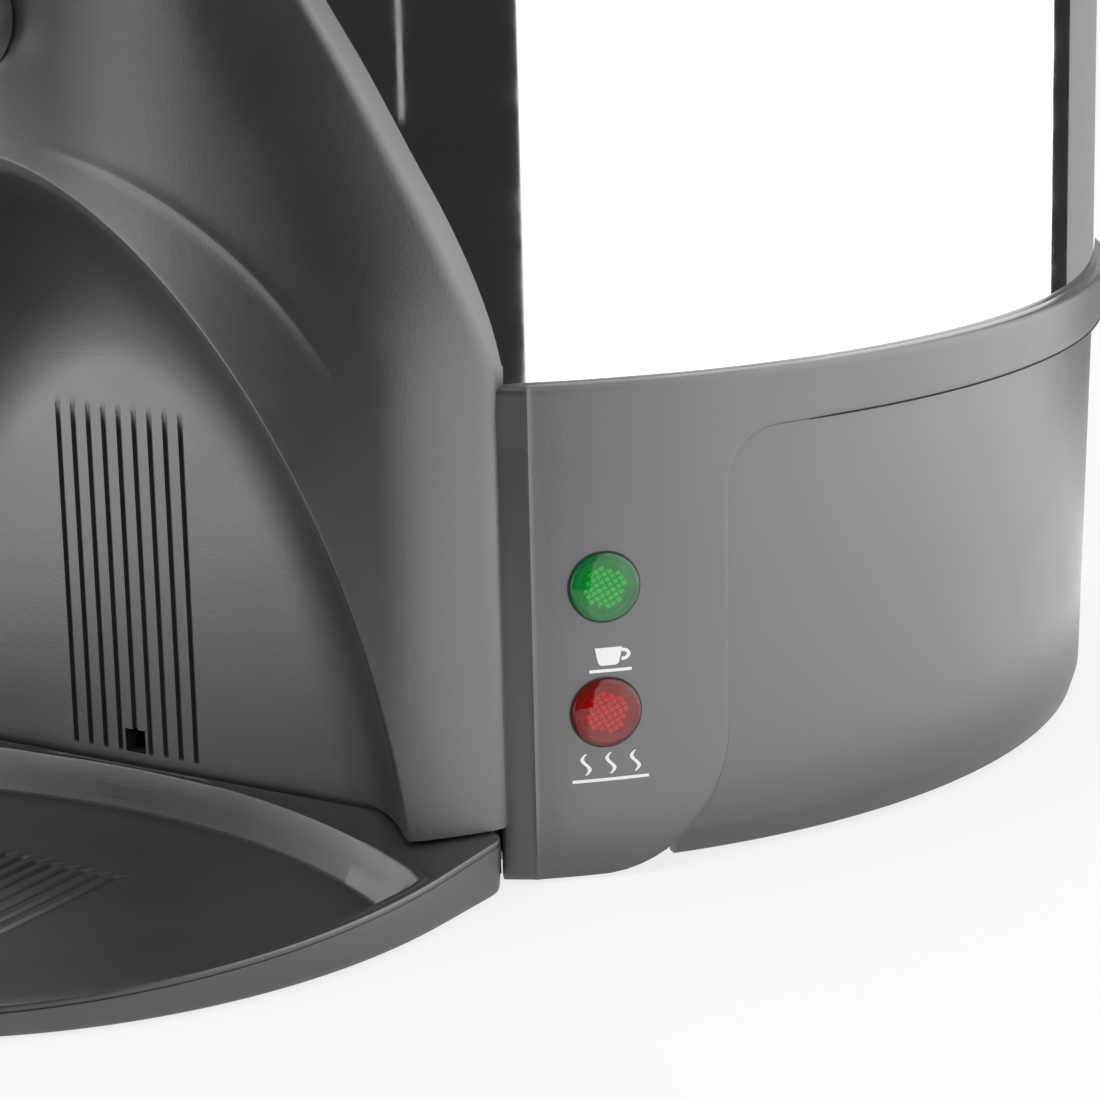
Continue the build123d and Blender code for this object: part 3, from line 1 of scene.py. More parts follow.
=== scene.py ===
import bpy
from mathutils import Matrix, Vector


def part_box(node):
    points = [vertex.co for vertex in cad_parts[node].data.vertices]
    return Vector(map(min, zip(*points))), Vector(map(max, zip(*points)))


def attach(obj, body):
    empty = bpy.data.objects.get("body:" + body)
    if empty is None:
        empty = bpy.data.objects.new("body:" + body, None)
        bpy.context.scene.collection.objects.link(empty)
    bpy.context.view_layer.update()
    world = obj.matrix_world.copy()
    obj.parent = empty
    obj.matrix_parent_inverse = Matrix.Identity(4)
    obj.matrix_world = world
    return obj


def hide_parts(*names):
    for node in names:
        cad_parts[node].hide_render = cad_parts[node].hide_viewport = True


bl_info = {
    "name": "Coffee urn",
    "version": (1, 0, 0),
    "blender": (4, 5, 0),
    "location": "3D View > Sidebar > Urn",
    "description": "Builds the visible pieces of a tabletop coffee urn around its packed frame",
    "category": "Add Mesh",
}

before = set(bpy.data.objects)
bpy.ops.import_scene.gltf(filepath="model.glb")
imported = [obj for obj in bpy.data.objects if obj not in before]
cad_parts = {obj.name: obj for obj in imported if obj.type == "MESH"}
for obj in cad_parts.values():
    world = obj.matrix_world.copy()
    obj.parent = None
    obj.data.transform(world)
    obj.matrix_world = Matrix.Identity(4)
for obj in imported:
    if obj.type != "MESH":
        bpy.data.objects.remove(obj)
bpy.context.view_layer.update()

from math import acos, atan2, ceil, cos, degrees, exp, hypot, pi, radians, sin, sqrt, tan

import bmesh
import bpy
from bpy.props import FloatProperty, FloatVectorProperty, IntProperty, PointerProperty
from mathutils import Matrix, Vector

MM = 0.001                 # the code below counts in millimetres

# Sizes that the frame gives, in millimetres
DRUM_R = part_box("drum_jacket")[1].x / MM
DRUM_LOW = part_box("drum_jacket")[0].z / MM
DRUM_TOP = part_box("drum_jacket")[1].z / MM
COLLAR_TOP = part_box("base_collar")[1].z / MM
TOWER_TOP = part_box("tower_shell")[1].z / MM
LID_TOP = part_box("lid_shell")[1].z / MM
KNOB_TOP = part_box("lid_knob")[1].z / MM
HANDLE_Z = (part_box("handle_right")[0].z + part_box("handle_right")[1].z) / 2 / MM
TAP_Y = (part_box("tap_bonnet")[0].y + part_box("tap_bonnet")[1].y) / 2 / MM
GAUGE_Y = (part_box("gauge_glass")[0].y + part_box("gauge_glass")[1].y) / 2 / MM

# ------------------------------------------------------------------ shapes


def polar(radius, azimuth):
    a = radians(azimuth)
    return radius * sin(a), -radius * cos(a)


def smooth(t):
    t = min(max(t, 0.0), 1.0)
    return t * t * (3 - 2 * t)


def rounding(distance, radius):
    """How far a rounded edge falls back at a distance from the edge."""
    if distance >= radius:
        return 0.0
    return radius - sqrt(radius ** 2 - (radius - max(distance, 0.0)) ** 2)


def curve_through(knots):
    """Smooth function through (input, output) pairs."""
    xs = [x for x, y in knots]
    ys = [y for x, y in knots]
    last = len(knots) - 1
    slopes = [(ys[i + 1] - ys[i]) / (xs[i + 1] - xs[i]) for i in range(last)]
    ends = [slopes[0]]
    for a, b in zip(slopes, slopes[1:]):
        ends.append(0.0 if a * b <= 0 else 2 * a * b / (a + b))
    ends.append(slopes[-1])

    def read(x):
        if x <= xs[0]:
            return ys[0]
        if x >= xs[-1]:
            return ys[-1]
        i = max(k for k in range(last) if xs[k] <= x)
        h = xs[i + 1] - xs[i]
        t = (x - xs[i]) / h
        rise = ys[i] * (2 * t ** 3 - 3 * t ** 2 + 1) + ys[i + 1] * (3 * t ** 2 - 2 * t ** 3)
        bend = ends[i] * (t ** 3 - 2 * t ** 2 + t) + ends[i + 1] * (t ** 3 - t ** 2)
        return rise + h * bend
    return read


def rounded(points, radii, closed=True, turn=10.0):
    """Line through points with some of its corners rounded: radii is one size or {corner: size}."""
    out = []
    count = len(points)
    for i, point in enumerate(points):
        radius = radii if isinstance(radii, (int, float)) else radii.get(i, 0)
        if not radius or (not closed and i in (0, count - 1)):
            out.append(tuple(point))
            continue
        corner = Vector(point)
        back = (Vector(points[i - 1]) - corner).normalized()
        ahead = (Vector(points[(i + 1) % count]) - corner).normalized()
        half = back.angle(ahead) / 2
        if abs(half - pi / 2) < 1e-4:
            out.append(tuple(point))
            continue
        centre = corner + (back + ahead).normalized() * (radius / sin(half))
        arm = corner + back * (radius / tan(half)) - centre
        sense = -1 if back.x * ahead.y - back.y * ahead.x > 0 else 1
        sweep = pi - 2 * half
        steps = max(2, ceil(degrees(sweep) / turn))
        for k in range(steps + 1):
            a = sense * sweep * k / steps
            out.append((centre.x + arm.x * cos(a) - arm.y * sin(a),
                        centre.y + arm.x * sin(a) + arm.y * cos(a)))
    return out


def dense(line, step, closed=True):
    """Adds points so that no side of a line is longer than a step."""
    out = []
    for (x0, y0), (x1, y1) in zip(line, line[1:] + line[:1] if closed else line[1:]):
        n = max(1, ceil(hypot(x1 - x0, y1 - y0) / step))
        out += [(x0 + (x1 - x0) * i / n, y0 + (y1 - y0) * i / n) for i in range(n)]
    return out if closed else out + [line[-1]]


def spaced(start, end, count, power=2.2):
    """Values from start to end that crowd together at both ends."""
    values = []
    for i in range(count + 1):
        t = i / count
        t = 0.5 * (2 * t) ** power if t < 0.5 else 1 - 0.5 * (2 - 2 * t) ** power
        values.append(start + (end - start) * t)
    return values


def welded(points, faces):
    """Joins the points of one part that coincide, and drops faces that have no area."""
    index, kept, number = {}, [], []
    for p in points:
        key = tuple(round(c, 4) + 0.0 for c in p)
        if key not in index:
            index[key] = len(kept)
            kept.append(p)
        number.append(index[key])
    clean = []
    for face in faces:
        ring = [number[i] for i in face]
        ring = [v for k, v in enumerate(ring) if v != ring[k - 1]]
        if len(set(ring)) > 2 and len(set(ring)) == len(ring):
            clean.append(ring)
    return kept, clean


def lathe(profile, steps=144, centre=(0.0, 0.0), span=(0.0, 360.0)):
    """Solid of revolution from a closed half section of (radius, height) points."""
    full = abs(span[1] - span[0] - 360) < 1e-6
    rings = steps if full else steps + 1
    n = len(profile)
    points, faces = [], []
    for i in range(rings):
        azimuth = span[0] + (span[1] - span[0]) * i / steps
        for r, z in profile:
            x, y = polar(r, azimuth)
            points.append((centre[0] + x, centre[1] + y, z))
    for i in range(steps):
        j = (i + 1) % rings
        for k in range(n):
            m = (k + 1) % n
            faces.append((i * n + k, j * n + k, j * n + m, i * n + m))
    if not full:
        faces += [tuple(range(n)), tuple(range((rings - 1) * n, rings * n))]
    return welded(points, faces)


def loft(loops, ring=False):
    """Solid through closed loops of equal count, with flat ends unless it closes on itself."""
    n, rows = len(loops[0]), len(loops)
    points = [p for loop in loops for p in loop]
    faces = []
    for i in range(rows if ring else rows - 1):
        j = (i + 1) % rows
        for k in range(n):
            m = (k + 1) % n
            faces.append((i * n + k, i * n + m, j * n + m, j * n + k))
    if not ring:
        faces += [tuple(range(n)), tuple(range((rows - 1) * n, rows * n))]
    return welded(points, faces)


def slab(width, height, corner, levels, centre=(0.0, 0.0)):
    """Rounded rectangle raised through (inset, height) levels."""
    loops = []
    for inset, z in levels:
        a, b, r = width / 2 - inset, height / 2 - inset, max(corner - inset, 0.05)
        plan = rounded([(-a, -b), (a, -b), (a, b), (-a, b)], r, turn=22.5)
        loops.append([(centre[0] + x, centre[1] + y, z) for x, y in plan])
    return loft(loops)


def placed(part, matrix):
    return [tuple(matrix @ Vector(p)) for p in part[0]], part[1]


def outward(azimuth, radius=0.0, z=0.0):
    """Frame on the drum that faces out: x along the wall to the right, y up, z outwards."""
    a = radians(azimuth)
    out = Vector((sin(a), -cos(a), 0))
    x_dir = Vector((cos(a), sin(a), 0))
    rows = Matrix((x_dir, Vector((0, 0, 1)), out)).transposed().to_4x4()
    return Matrix.Translation(out * radius + Vector((0, 0, z))) @ rows


def box_part(x_range, y_range, z_range, edge=0.3):
    """Block with softened edges."""
    (x0, x1), (y0, y1), (z0, z1) = x_range, y_range, z_range
    levels = [(edge, z0), (0, z0 + edge), (0, z1 - edge), (edge, z1)]
    return slab(x1 - x0, y1 - y0, edge, levels, ((x0 + x1) / 2, (y0 + y1) / 2))


class Sheet:
    """Open surface whose every point has a partner on the inner side of the wall."""

    def __init__(self):
        self.index, self.outer, self.inner, self.faces = {}, [], [], []

    def point(self, outer, inner):
        key = tuple(round(c, 4) + 0.0 for c in outer)
        if key not in self.index:
            self.index[key] = len(self.outer)
            self.outer.append(outer)
            self.inner.append(inner)
        return self.index[key]

    def grid(self, rows, skip=None):
        """Joins rows of point numbers with quads; skip tells which ones to leave open."""
        for upper, lower in zip(rows, rows[1:]):
            for k in range(len(upper) - 1):
                face = [upper[k], upper[k + 1], lower[k + 1], lower[k]]
                face = [v for i, v in enumerate(face) if v != face[i - 1]]
                if len(set(face)) < 3 or (skip and skip(face)):
                    continue
                self.faces.append(face)

    def mirrored(self):
        other = Sheet()
        for sign in (1, -1):
            ids = [other.point((sign * o[0], o[1], o[2]), (sign * i[0], i[1], i[2]))
                   for o, i in zip(self.outer, self.inner)]
            for face in self.faces:
                ring = [ids[v] for v in face]
                other.faces.append(ring if sign > 0 else ring[::-1])
        return other

    def solid(self):
        count = len(self.outer)
        edges = {}
        for face in self.faces:
            for a, b in zip(face, face[1:] + face[:1]):
                edges.setdefault((min(a, b), max(a, b)), []).append((a, b))
        faces = [list(face) for face in self.faces]
        faces += [[v + count for v in reversed(face)] for face in self.faces]
        for uses in edges.values():
            if len(uses) == 1:
                a, b = uses[0]
                faces.append([b, a, a + count, b + count])
        return self.outer + self.inner, faces


def make(name, parts, finish, body, stands_for=(), sharp=32.0):
    """One object from closed parts, riding on its body and standing for its nodes."""
    points, faces = [], []
    for part_points, part_faces in parts:
        start = len(points)
        points += [Vector(p) * MM for p in part_points]
        faces += [[start + i for i in face] for face in part_faces]
    mesh = bpy.data.meshes.new(name)
    mesh.from_pydata(points, [], faces)
    bm = bmesh.new()
    bm.from_mesh(mesh)
    bmesh.ops.delete(bm, geom=[v for v in bm.verts if not v.link_faces], context="VERTS")
    bmesh.ops.recalc_face_normals(bm, faces=bm.faces)
    bm.to_mesh(mesh)
    bm.free()
    mesh.shade_smooth()
    mesh.set_sharp_from_angle(angle=radians(sharp))
    obj = bpy.data.objects.new(name, mesh)
    bpy.context.scene.collection.objects.link(obj)
    return settle(obj, finish, body, stands_for)


def settle(obj, finish, body, stands_for=()):
    """Gives a finished piece its material, its body and the nodes it stands for."""
    obj.data.materials.clear()
    obj.data.materials.append(painted(finish))
    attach(obj, body)
    if stands_for:
        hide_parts(*stands_for)
    return obj


# ------------------------------------------------------------------ geometry nodes


class Nodes:
    """Short ways to fill a node tree."""

    def __init__(self, tree):
        self.tree = tree

    def add(self, kind, settings=None, **inputs):
        node = self.tree.nodes.new(kind)
        for key, value in (settings or {}).items():
            setattr(node, key, value)
        for key, value in inputs.items():
            self.feed(node, key, value)
        return node

    def feed(self, node, key, value):
        number = int(key[1:]) if key[0] == "i" and key[1:].isdigit() else None
        socket = node.inputs[number if number is not None else key.replace("_", " ")]
        if isinstance(value, bpy.types.NodeSocket):
            self.tree.links.new(value, socket)
        elif isinstance(value, bpy.types.Node):
            self.tree.links.new(value.outputs[0], socket)
        else:
            socket.default_value = value

    def math(self, operation, *values):
        node = self.tree.nodes.new("ShaderNodeMath")
        node.operation = operation
        for i, value in enumerate(values):
            self.feed(node, f"i{i}", value)
        return node.outputs[0]

    def vector(self, **parts):
        return self.add("ShaderNodeCombineXYZ", **parts)

    def place(self):
        """The place of each point, split into its three parts."""
        return self.add("ShaderNodeSeparateXYZ", Vector=self.add("GeometryNodeInputPosition"))

    def moved(self, geometry, **changes):
        return self.add("GeometryNodeTransform", Geometry=geometry, **changes)


def shape_tree(name, inputs):
    """Empty geometry tree with named inputs: (name, socket type, default)."""
    tree = bpy.data.node_groups.new(name, "GeometryNodeTree")
    for label, kind, default in inputs:
        socket = tree.interface.new_socket(label, in_out="INPUT", socket_type="NodeSocket" + kind)
        if default is not None:
            socket.default_value = default
    tree.interface.new_socket("Geometry", in_out="OUTPUT", socket_type="NodeSocketGeometry")
    nodes = Nodes(tree)
    return nodes, nodes.add("NodeGroupInput").outputs


def close_tree(nodes, geometry, finish):
    """Ends a tree: real geometry and material."""
    real = nodes.add("GeometryNodeRealizeInstances", Geometry=geometry)
    painted = nodes.add("GeometryNodeSetMaterial", Geometry=real, Material=finish)
    out = nodes.add("NodeGroupOutput")
    nodes.feed(out, "i0", painted)
    return nodes.tree


def grow(name, tree, values, finish, body, stands_for=(), sharp=32.0):
    """Runs a geometry tree once and keeps its result as a plain mesh piece."""
    host = bpy.data.objects.new(name + "_host", bpy.data.meshes.new(name + "_host"))
    bpy.context.scene.collection.objects.link(host)
    modifier = host.modifiers.new("shape", "NODES")
    modifier.node_group = tree
    names = {s.name: s.identifier for s in tree.interface.items_tree if s.in_out == "INPUT"}
    for label, value in values.items():
        modifier[names[label]] = value
    modifier[names["Finish"]] = painted(finish)
    graph = bpy.context.evaluated_depsgraph_get()
    mesh = bpy.data.meshes.new_from_object(host.evaluated_get(graph))
    bpy.data.objects.remove(host)
    if not mesh.polygons:
        raise RuntimeError(f"{name} came out empty")
    mesh.name = name
    mesh.shade_smooth()
    mesh.set_sharp_from_angle(angle=radians(sharp))
    obj = bpy.data.objects.new(name, mesh)
    bpy.context.scene.collection.objects.link(obj)
    return settle(obj, finish, body, stands_for)


def drum_wall_tree():
    """Round sheet wall with an opening at its foot for the cup niche."""
    nodes, given = shape_tree("drum_wall", [
        ("Radius", "Float", 0.12), ("Low", "Float", 0.074), ("High", "Float", 0.36),
        ("Wall", "Float", 0.0006), ("Opening", "Float", 0.47), ("Opening Top", "Float", 0.117),
        ("Columns", "Int", 289), ("Rows", "Int", 49), ("Finish", "Material", None)])
    grid = nodes.add("GeometryNodeMeshGrid", Size_X=2 * pi, Size_Y=1.0,
                     Vertices_X=given["Columns"], Vertices_Y=given["Rows"])
    place = nodes.place()
    turn = place.outputs[0]
    share = nodes.math("ADD", place.outputs[1], 0.5)
    height = nodes.math("MULTIPLY_ADD", share, nodes.math("SUBTRACT", given["High"], given["Low"]),
                        given["Low"])
    narrow = nodes.math("LESS_THAN", nodes.math("ABSOLUTE", turn), given["Opening"])
    below = nodes.math("LESS_THAN", height, given["Opening Top"])
    cut = nodes.add("GeometryNodeDeleteGeometry", {"domain": "FACE"}, Geometry=grid,
                    Selection=nodes.math("MULTIPLY", narrow, below))
    x = nodes.math("MULTIPLY", given["Radius"], nodes.math("SINE", turn))
    y = nodes.math("MULTIPLY", nodes.math("MULTIPLY", given["Radius"], -1.0),
                   nodes.math("COSINE", turn))
    bent = nodes.add("GeometryNodeSetPosition", Geometry=cut,
                     Position=nodes.vector(X=x, Y=y, Z=height))
    wall = nodes.add("GeometryNodeMergeByDistance", Geometry=bent, Distance=1e-6)
    inner = nodes.add("GeometryNodeExtrudeMesh", {"mode": "FACES"}, Mesh=wall, Individual=False,
                      Offset_Scale=nodes.math("MULTIPLY", given["Wall"], -1.0))
    inner = nodes.add("GeometryNodeFlipFaces", Mesh=inner)
    both = nodes.add("GeometryNodeJoinGeometry")
    nodes.feed(both, "Geometry", wall)
    nodes.feed(both, "Geometry", inner)
    closed = nodes.add("GeometryNodeMergeByDistance", Geometry=both, Distance=1e-6)
    return close_tree(nodes, closed, given["Finish"])


def prism_tree():
    """Round field of small pyramids, such as the optics moulded into a pilot lamp."""
    nodes, given = shape_tree("lens_prisms", [
        ("Field", "Float", 0.003), ("Pitch", "Float", 0.0007), ("Rise", "Float", 0.0003),
        ("Turn", "Float", 0.6), ("Azimuth", "Float", 0.785), ("Reach", "Float", 0.122),
        ("Height", "Float", 0.048), ("Finish", "Material", None)])
    count = nodes.math("ADD", nodes.math("MULTIPLY", 2.0,
                       nodes.math("CEIL", nodes.math("DIVIDE", given["Field"], given["Pitch"]))), 1.0)
    size = nodes.math("MULTIPLY", nodes.math("SUBTRACT", count, 1.0), given["Pitch"])
    grid = nodes.add("GeometryNodeMeshGrid", Size_X=size, Size_Y=size,
                     Vertices_X=count, Vertices_Y=count)
    length = nodes.add("ShaderNodeVectorMath", {"operation": "LENGTH"})
    nodes.feed(length, "i0", nodes.add("GeometryNodeInputPosition"))
    points = nodes.add("GeometryNodeMeshToPoints", Mesh=grid,
                       Selection=nodes.math("LESS_THAN", length.outputs["Value"], given["Field"]))
    edge = nodes.math("MULTIPLY", given["Pitch"], 0.58)
    pyramid = nodes.add("GeometryNodeMeshCone", Vertices=4, Radius_Top=0.0, Radius_Bottom=edge,
                        Depth=given["Rise"])
    quarter = nodes.moved(pyramid, Rotation=(0, 0, pi / 4))
    field = nodes.add("GeometryNodeInstanceOnPoints", Points=points, Instance=quarter)
    spin = nodes.vector(Z=given["Turn"])
    spun = nodes.moved(field, Rotation=spin)
    upright = nodes.moved(spun, Rotation=(pi / 2, 0, 0))
    away = nodes.math("MULTIPLY", given["Reach"], -1.0)
    out = nodes.moved(upright, Translation=nodes.vector(Y=away, Z=given["Height"]))
    swung = nodes.moved(out, Rotation=nodes.vector(Z=given["Azimuth"]))
    return close_tree(nodes, swung, given["Finish"])


def tick_tree():
    """Row of level marks printed on an upright strip that follows the tower."""
    nodes, given = shape_tree("level_ticks", [
        ("Count", "Int", 41), ("Low", "Float", 0.18), ("High", "Float", 0.3),
        ("Left", "Float", 0.009), ("Long", "Float", 0.008), ("Short", "Float", 0.004),
        ("Weight", "Float", 0.0005), ("Radius", "Float", 0.1275), ("Finish", "Material", None)])
    last = nodes.math("SUBTRACT", given["Count"], 1.0)
    pitch = nodes.math("DIVIDE", nodes.math("SUBTRACT", given["High"], given["Low"]), last)
    line = nodes.add("GeometryNodeMeshLine", Count=given["Count"],
                     Start_Location=nodes.vector(Z=given["Low"]),
                     Offset=nodes.vector(Z=pitch))
    index = nodes.add("GeometryNodeInputIndex")
    whole = nodes.math("COMPARE", nodes.math("MODULO", index, 5.0), 0.0, 0.1)
    extra = nodes.math("SUBTRACT", given["Long"], given["Short"])
    width = nodes.math("MULTIPLY_ADD", whole, extra, given["Short"])
    bar = nodes.add("GeometryNodeMeshCube", Size=(1.0, 0.0003, 1.0), Vertices_X=4)
    marks = nodes.add("GeometryNodeInstanceOnPoints", Points=line, Instance=bar,
                      Scale=nodes.vector(X=width, Y=1.0, Z=given["Weight"]))
    real = nodes.add("GeometryNodeRealizeInstances", Geometry=marks)
    place = nodes.place()
    half = nodes.math("MULTIPLY", given["Long"], 0.5)
    x = nodes.math("ADD", nodes.math("ADD", place.outputs[0], given["Left"]), half)
    square = nodes.math("MULTIPLY", given["Radius"], given["Radius"])
    depth = nodes.math("SQRT", nodes.math("SUBTRACT", square, nodes.math("MULTIPLY", x, x)))
    y = nodes.math("SUBTRACT", place.outputs[1], depth)
    bent = nodes.add("GeometryNodeSetPosition", Geometry=real,
                     Position=nodes.vector(X=x, Y=y, Z=place.outputs[2]))
    return close_tree(nodes, bent, given["Finish"])


def rib_tree():
    """Ribs round a turned piece, such as the grip of a nut."""
    nodes, given = shape_tree("grip_ribs", [
        ("Count", "Int", 24), ("Radius", "Float", 0.0095), ("Low", "Float", 0.15),
        ("High", "Float", 0.16), ("Width", "Float", 0.0009), ("Depth", "Float", 0.0008),
        ("Centre Y", "Float", 0.0), ("Finish", "Material", None)])
    ring = nodes.add("GeometryNodeMeshCircle", {"fill_type": "NONE"}, Vertices=given["Count"],
                     Radius=given["Radius"])
    span = nodes.math("SUBTRACT", given["High"], given["Low"])
    bar = nodes.add("GeometryNodeMeshCylinder", Vertices=8, Radius=0.5, Depth=1.0)
    place = nodes.place()
    angle = nodes.math("ARCTAN2", place.outputs[1], place.outputs[0])
    bars = nodes.add("GeometryNodeInstanceOnPoints", Points=ring, Instance=bar,
                     Rotation=nodes.vector(Z=angle),
                     Scale=nodes.vector(X=given["Depth"], Y=given["Width"], Z=span))
    middle = nodes.math("MULTIPLY", nodes.math("ADD", given["High"], given["Low"]), 0.5)
    up = nodes.moved(bars, Translation=nodes.vector(Y=given["Centre Y"], Z=middle))
    return close_tree(nodes, up, given["Finish"])


# ------------------------------------------------------------------ finishes


def effect_group(name, inputs, outputs):
    """Shader group that puts out colours, masks and heights only."""
    tree = bpy.data.node_groups.new(name, "ShaderNodeTree")
    for label, kind, default in inputs:
        socket = tree.interface.new_socket(label, in_out="INPUT", socket_type="NodeSocket" + kind)
        if default is not None:
            socket.default_value = default
    for label in outputs:
        tree.interface.new_socket(label, in_out="OUTPUT", socket_type="NodeSocketFloat")
    nodes = Nodes(tree)
    return nodes, nodes.add("NodeGroupInput").outputs


def close_group(nodes, *outputs):
    out = nodes.add("NodeGroupOutput")
    for i, value in enumerate(outputs):
        nodes.feed(out, f"i{i}", value)
    return nodes.tree


def noise(nodes, vector, scale, detail=2.0, roughness=0.5):
    node = nodes.add("ShaderNodeTexNoise", Vector=vector, Scale=scale, Detail=detail,
                     Roughness=roughness)
    return node.outputs[0]


def remap(nodes, value, low, high, new_low, new_high):
    node = nodes.add("ShaderNodeMapRange", Value=value)
    for key, number in (("From Min", low), ("From Max", high), ("To Min", new_low),
                        ("To Max", new_high)):
        nodes.feed(node, key, number)
    return node.outputs[0]


def grain_group():
    """Fine moulded or cast grain with slow patches: Tone, Height, Patches."""
    name = "moulded_grain"
    if name in bpy.data.node_groups:
        return bpy.data.node_groups[name]
    nodes, given = effect_group(name, [("Vector", "Vector", None), ("Grain", "Float", 2600.0),
                                       ("Patch", "Float", 30.0)], ["Tone", "Height", "Patches"])
    fine = noise(nodes, given["Vector"], given["Grain"], 3.0, 0.6)
    cells = nodes.add("ShaderNodeTexVoronoi", Vector=given["Vector"],
                      Scale=nodes.math("MULTIPLY", given["Grain"], 0.7)).outputs[0]
    height = nodes.math("MULTIPLY_ADD", cells, 0.5, nodes.math("MULTIPLY", fine, 0.5))
    tone = remap(nodes, fine, 0.3, 0.7, 0.0, 1.0)
    slow = noise(nodes, given["Vector"], given["Patch"], 4.0, 0.6)
    return close_group(nodes, tone, height, remap(nodes, slow, 0.35, 0.65, 0.0, 1.0))


def brush_group():
    """Fine lines that run round the upright axis, as polishing leaves them: Tone, Height, Smears."""
    name = "polishing_lines"
    if name in bpy.data.node_groups:
        return bpy.data.node_groups[name]
    nodes, given = effect_group(name, [("Vector", "Vector", None), ("Lines", "Float", 1800.0),
                                       ("Smear", "Float", 14.0)], ["Tone", "Height", "Smears"])
    place = nodes.add("ShaderNodeSeparateXYZ", Vector=given["Vector"])
    turn = nodes.math("ARCTAN2", place.outputs[1], place.outputs[0])
    reach = nodes.math("SQRT", nodes.math("ADD", nodes.math("POWER", place.outputs[0], 2.0),
                                          nodes.math("POWER", place.outputs[1], 2.0)))
    run = nodes.math("MULTIPLY", turn, 1.6)
    rise = nodes.math("MULTIPLY", nodes.math("ADD", place.outputs[2],
                                             nodes.math("MULTIPLY", reach, 0.7)), given["Lines"])
    line = noise(nodes, nodes.vector(X=run, Y=rise), 1.0, 3.0, 0.7)
    long = nodes.vector(X=nodes.math("MULTIPLY", turn, 0.12),
                        Y=nodes.math("MULTIPLY", place.outputs[2], 9.0))
    smear = noise(nodes, long, given["Smear"], 3.0, 0.6)
    return close_group(nodes, remap(nodes, line, 0.35, 0.65, 0.0, 1.0), line,
                       remap(nodes, smear, 0.35, 0.65, 0.0, 1.0))


def handling_group():
    """Traces of use: soft finger smudges and fine dust: Smudge, Dust."""
    name = "traces_of_use"
    if name in bpy.data.node_groups:
        return bpy.data.node_groups[name]
    nodes, given = effect_group(name, [("Vector", "Vector", None), ("Size", "Float", 24.0)],
                                ["Smudge", "Dust"])
    soft = noise(nodes, given["Vector"], given["Size"], 5.0, 0.62)
    specks = nodes.add("ShaderNodeTexVoronoi", Vector=given["Vector"], Scale=420.0).outputs[0]
    dust = remap(nodes, specks, 0.02, 0.12, 1.0, 0.0)
    keep = remap(nodes, noise(nodes, given["Vector"], 61.0, 2.0), 0.56, 0.72, 0.0, 1.0)
    return close_group(nodes, remap(nodes, soft, 0.48, 0.72, 0.0, 1.0),
                       nodes.math("MULTIPLY", dust, keep))


def finish(name, colour, second=None, rough=(0.4, 0.5), bump=0.1, depth=0.00005, group="grain",
           scale=None, patch=None, smudge=0.05, dust=0.0, metal=0.0, extra=None):
    """A material: its own shader, a surface effect for tone and relief, and traces of use."""
    label = name + "_finish"
    if label in bpy.data.materials:
        return bpy.data.materials[label]
    material = bpy.data.materials.new(label)
    material.use_nodes = True
    nodes = Nodes(material.node_tree)
    shader = material.node_tree.nodes["Principled BSDF"]
    shader.inputs["Metallic"].default_value = metal
    for key, value in (extra or {}).items():
        shader.inputs[key].default_value = value
    place = nodes.add("ShaderNodeTexCoord").outputs["Object"]
    effect = nodes.add("ShaderNodeGroup", {"node_tree": grain_group() if group == "grain"
                                           else brush_group()}, Vector=place)
    if scale:
        effect.inputs[1].default_value = scale
    if patch:
        effect.inputs[2].default_value = patch
    use = nodes.add("ShaderNodeGroup", {"node_tree": handling_group()}, Vector=place)
    second = second or tuple(min(1.0, c * 1.18 + 0.004) for c in colour)
    tone = nodes.math("ADD", nodes.math("MULTIPLY", effect.outputs[0], 0.35),
                      nodes.math("MULTIPLY", effect.outputs[2], 0.65))
    mixed = mix_colour(nodes, tone, (*colour, 1), (*second, 1))
    if dust:
        grey = tuple(0.5 * c + 0.22 for c in colour)
        mixed = mix_colour(nodes, nodes.math("MULTIPLY", use.outputs["Dust"], dust), mixed, (*grey, 1))
    nodes.feed(shader, "Base Color", mixed)
    level = remap(nodes, effect.outputs[2], 0.0, 1.0, rough[0], rough[1])
    level = nodes.math("MULTIPLY_ADD", use.outputs["Smudge"], smudge, level)
    nodes.feed(shader, "Roughness", level)
    if bump:
        relief = nodes.add("ShaderNodeBump", Strength=bump, Distance=depth,
                           Height=effect.outputs["Height"])
        nodes.feed(shader, "Normal", relief)
    return material


def mix_colour(nodes, factor, first, second):
    node = nodes.add("ShaderNodeMix", {"data_type": "RGBA"})
    nodes.feed(node, "i0", factor)
    nodes.feed(node, "i6", first)
    nodes.feed(node, "i7", second)
    return node.outputs[2]


GLASS = {"Transmission Weight": 1.0, "IOR": 1.47}
LENS = {"Transmission Weight": 0.92, "IOR": 1.45, "Specular IOR Level": 1.0}

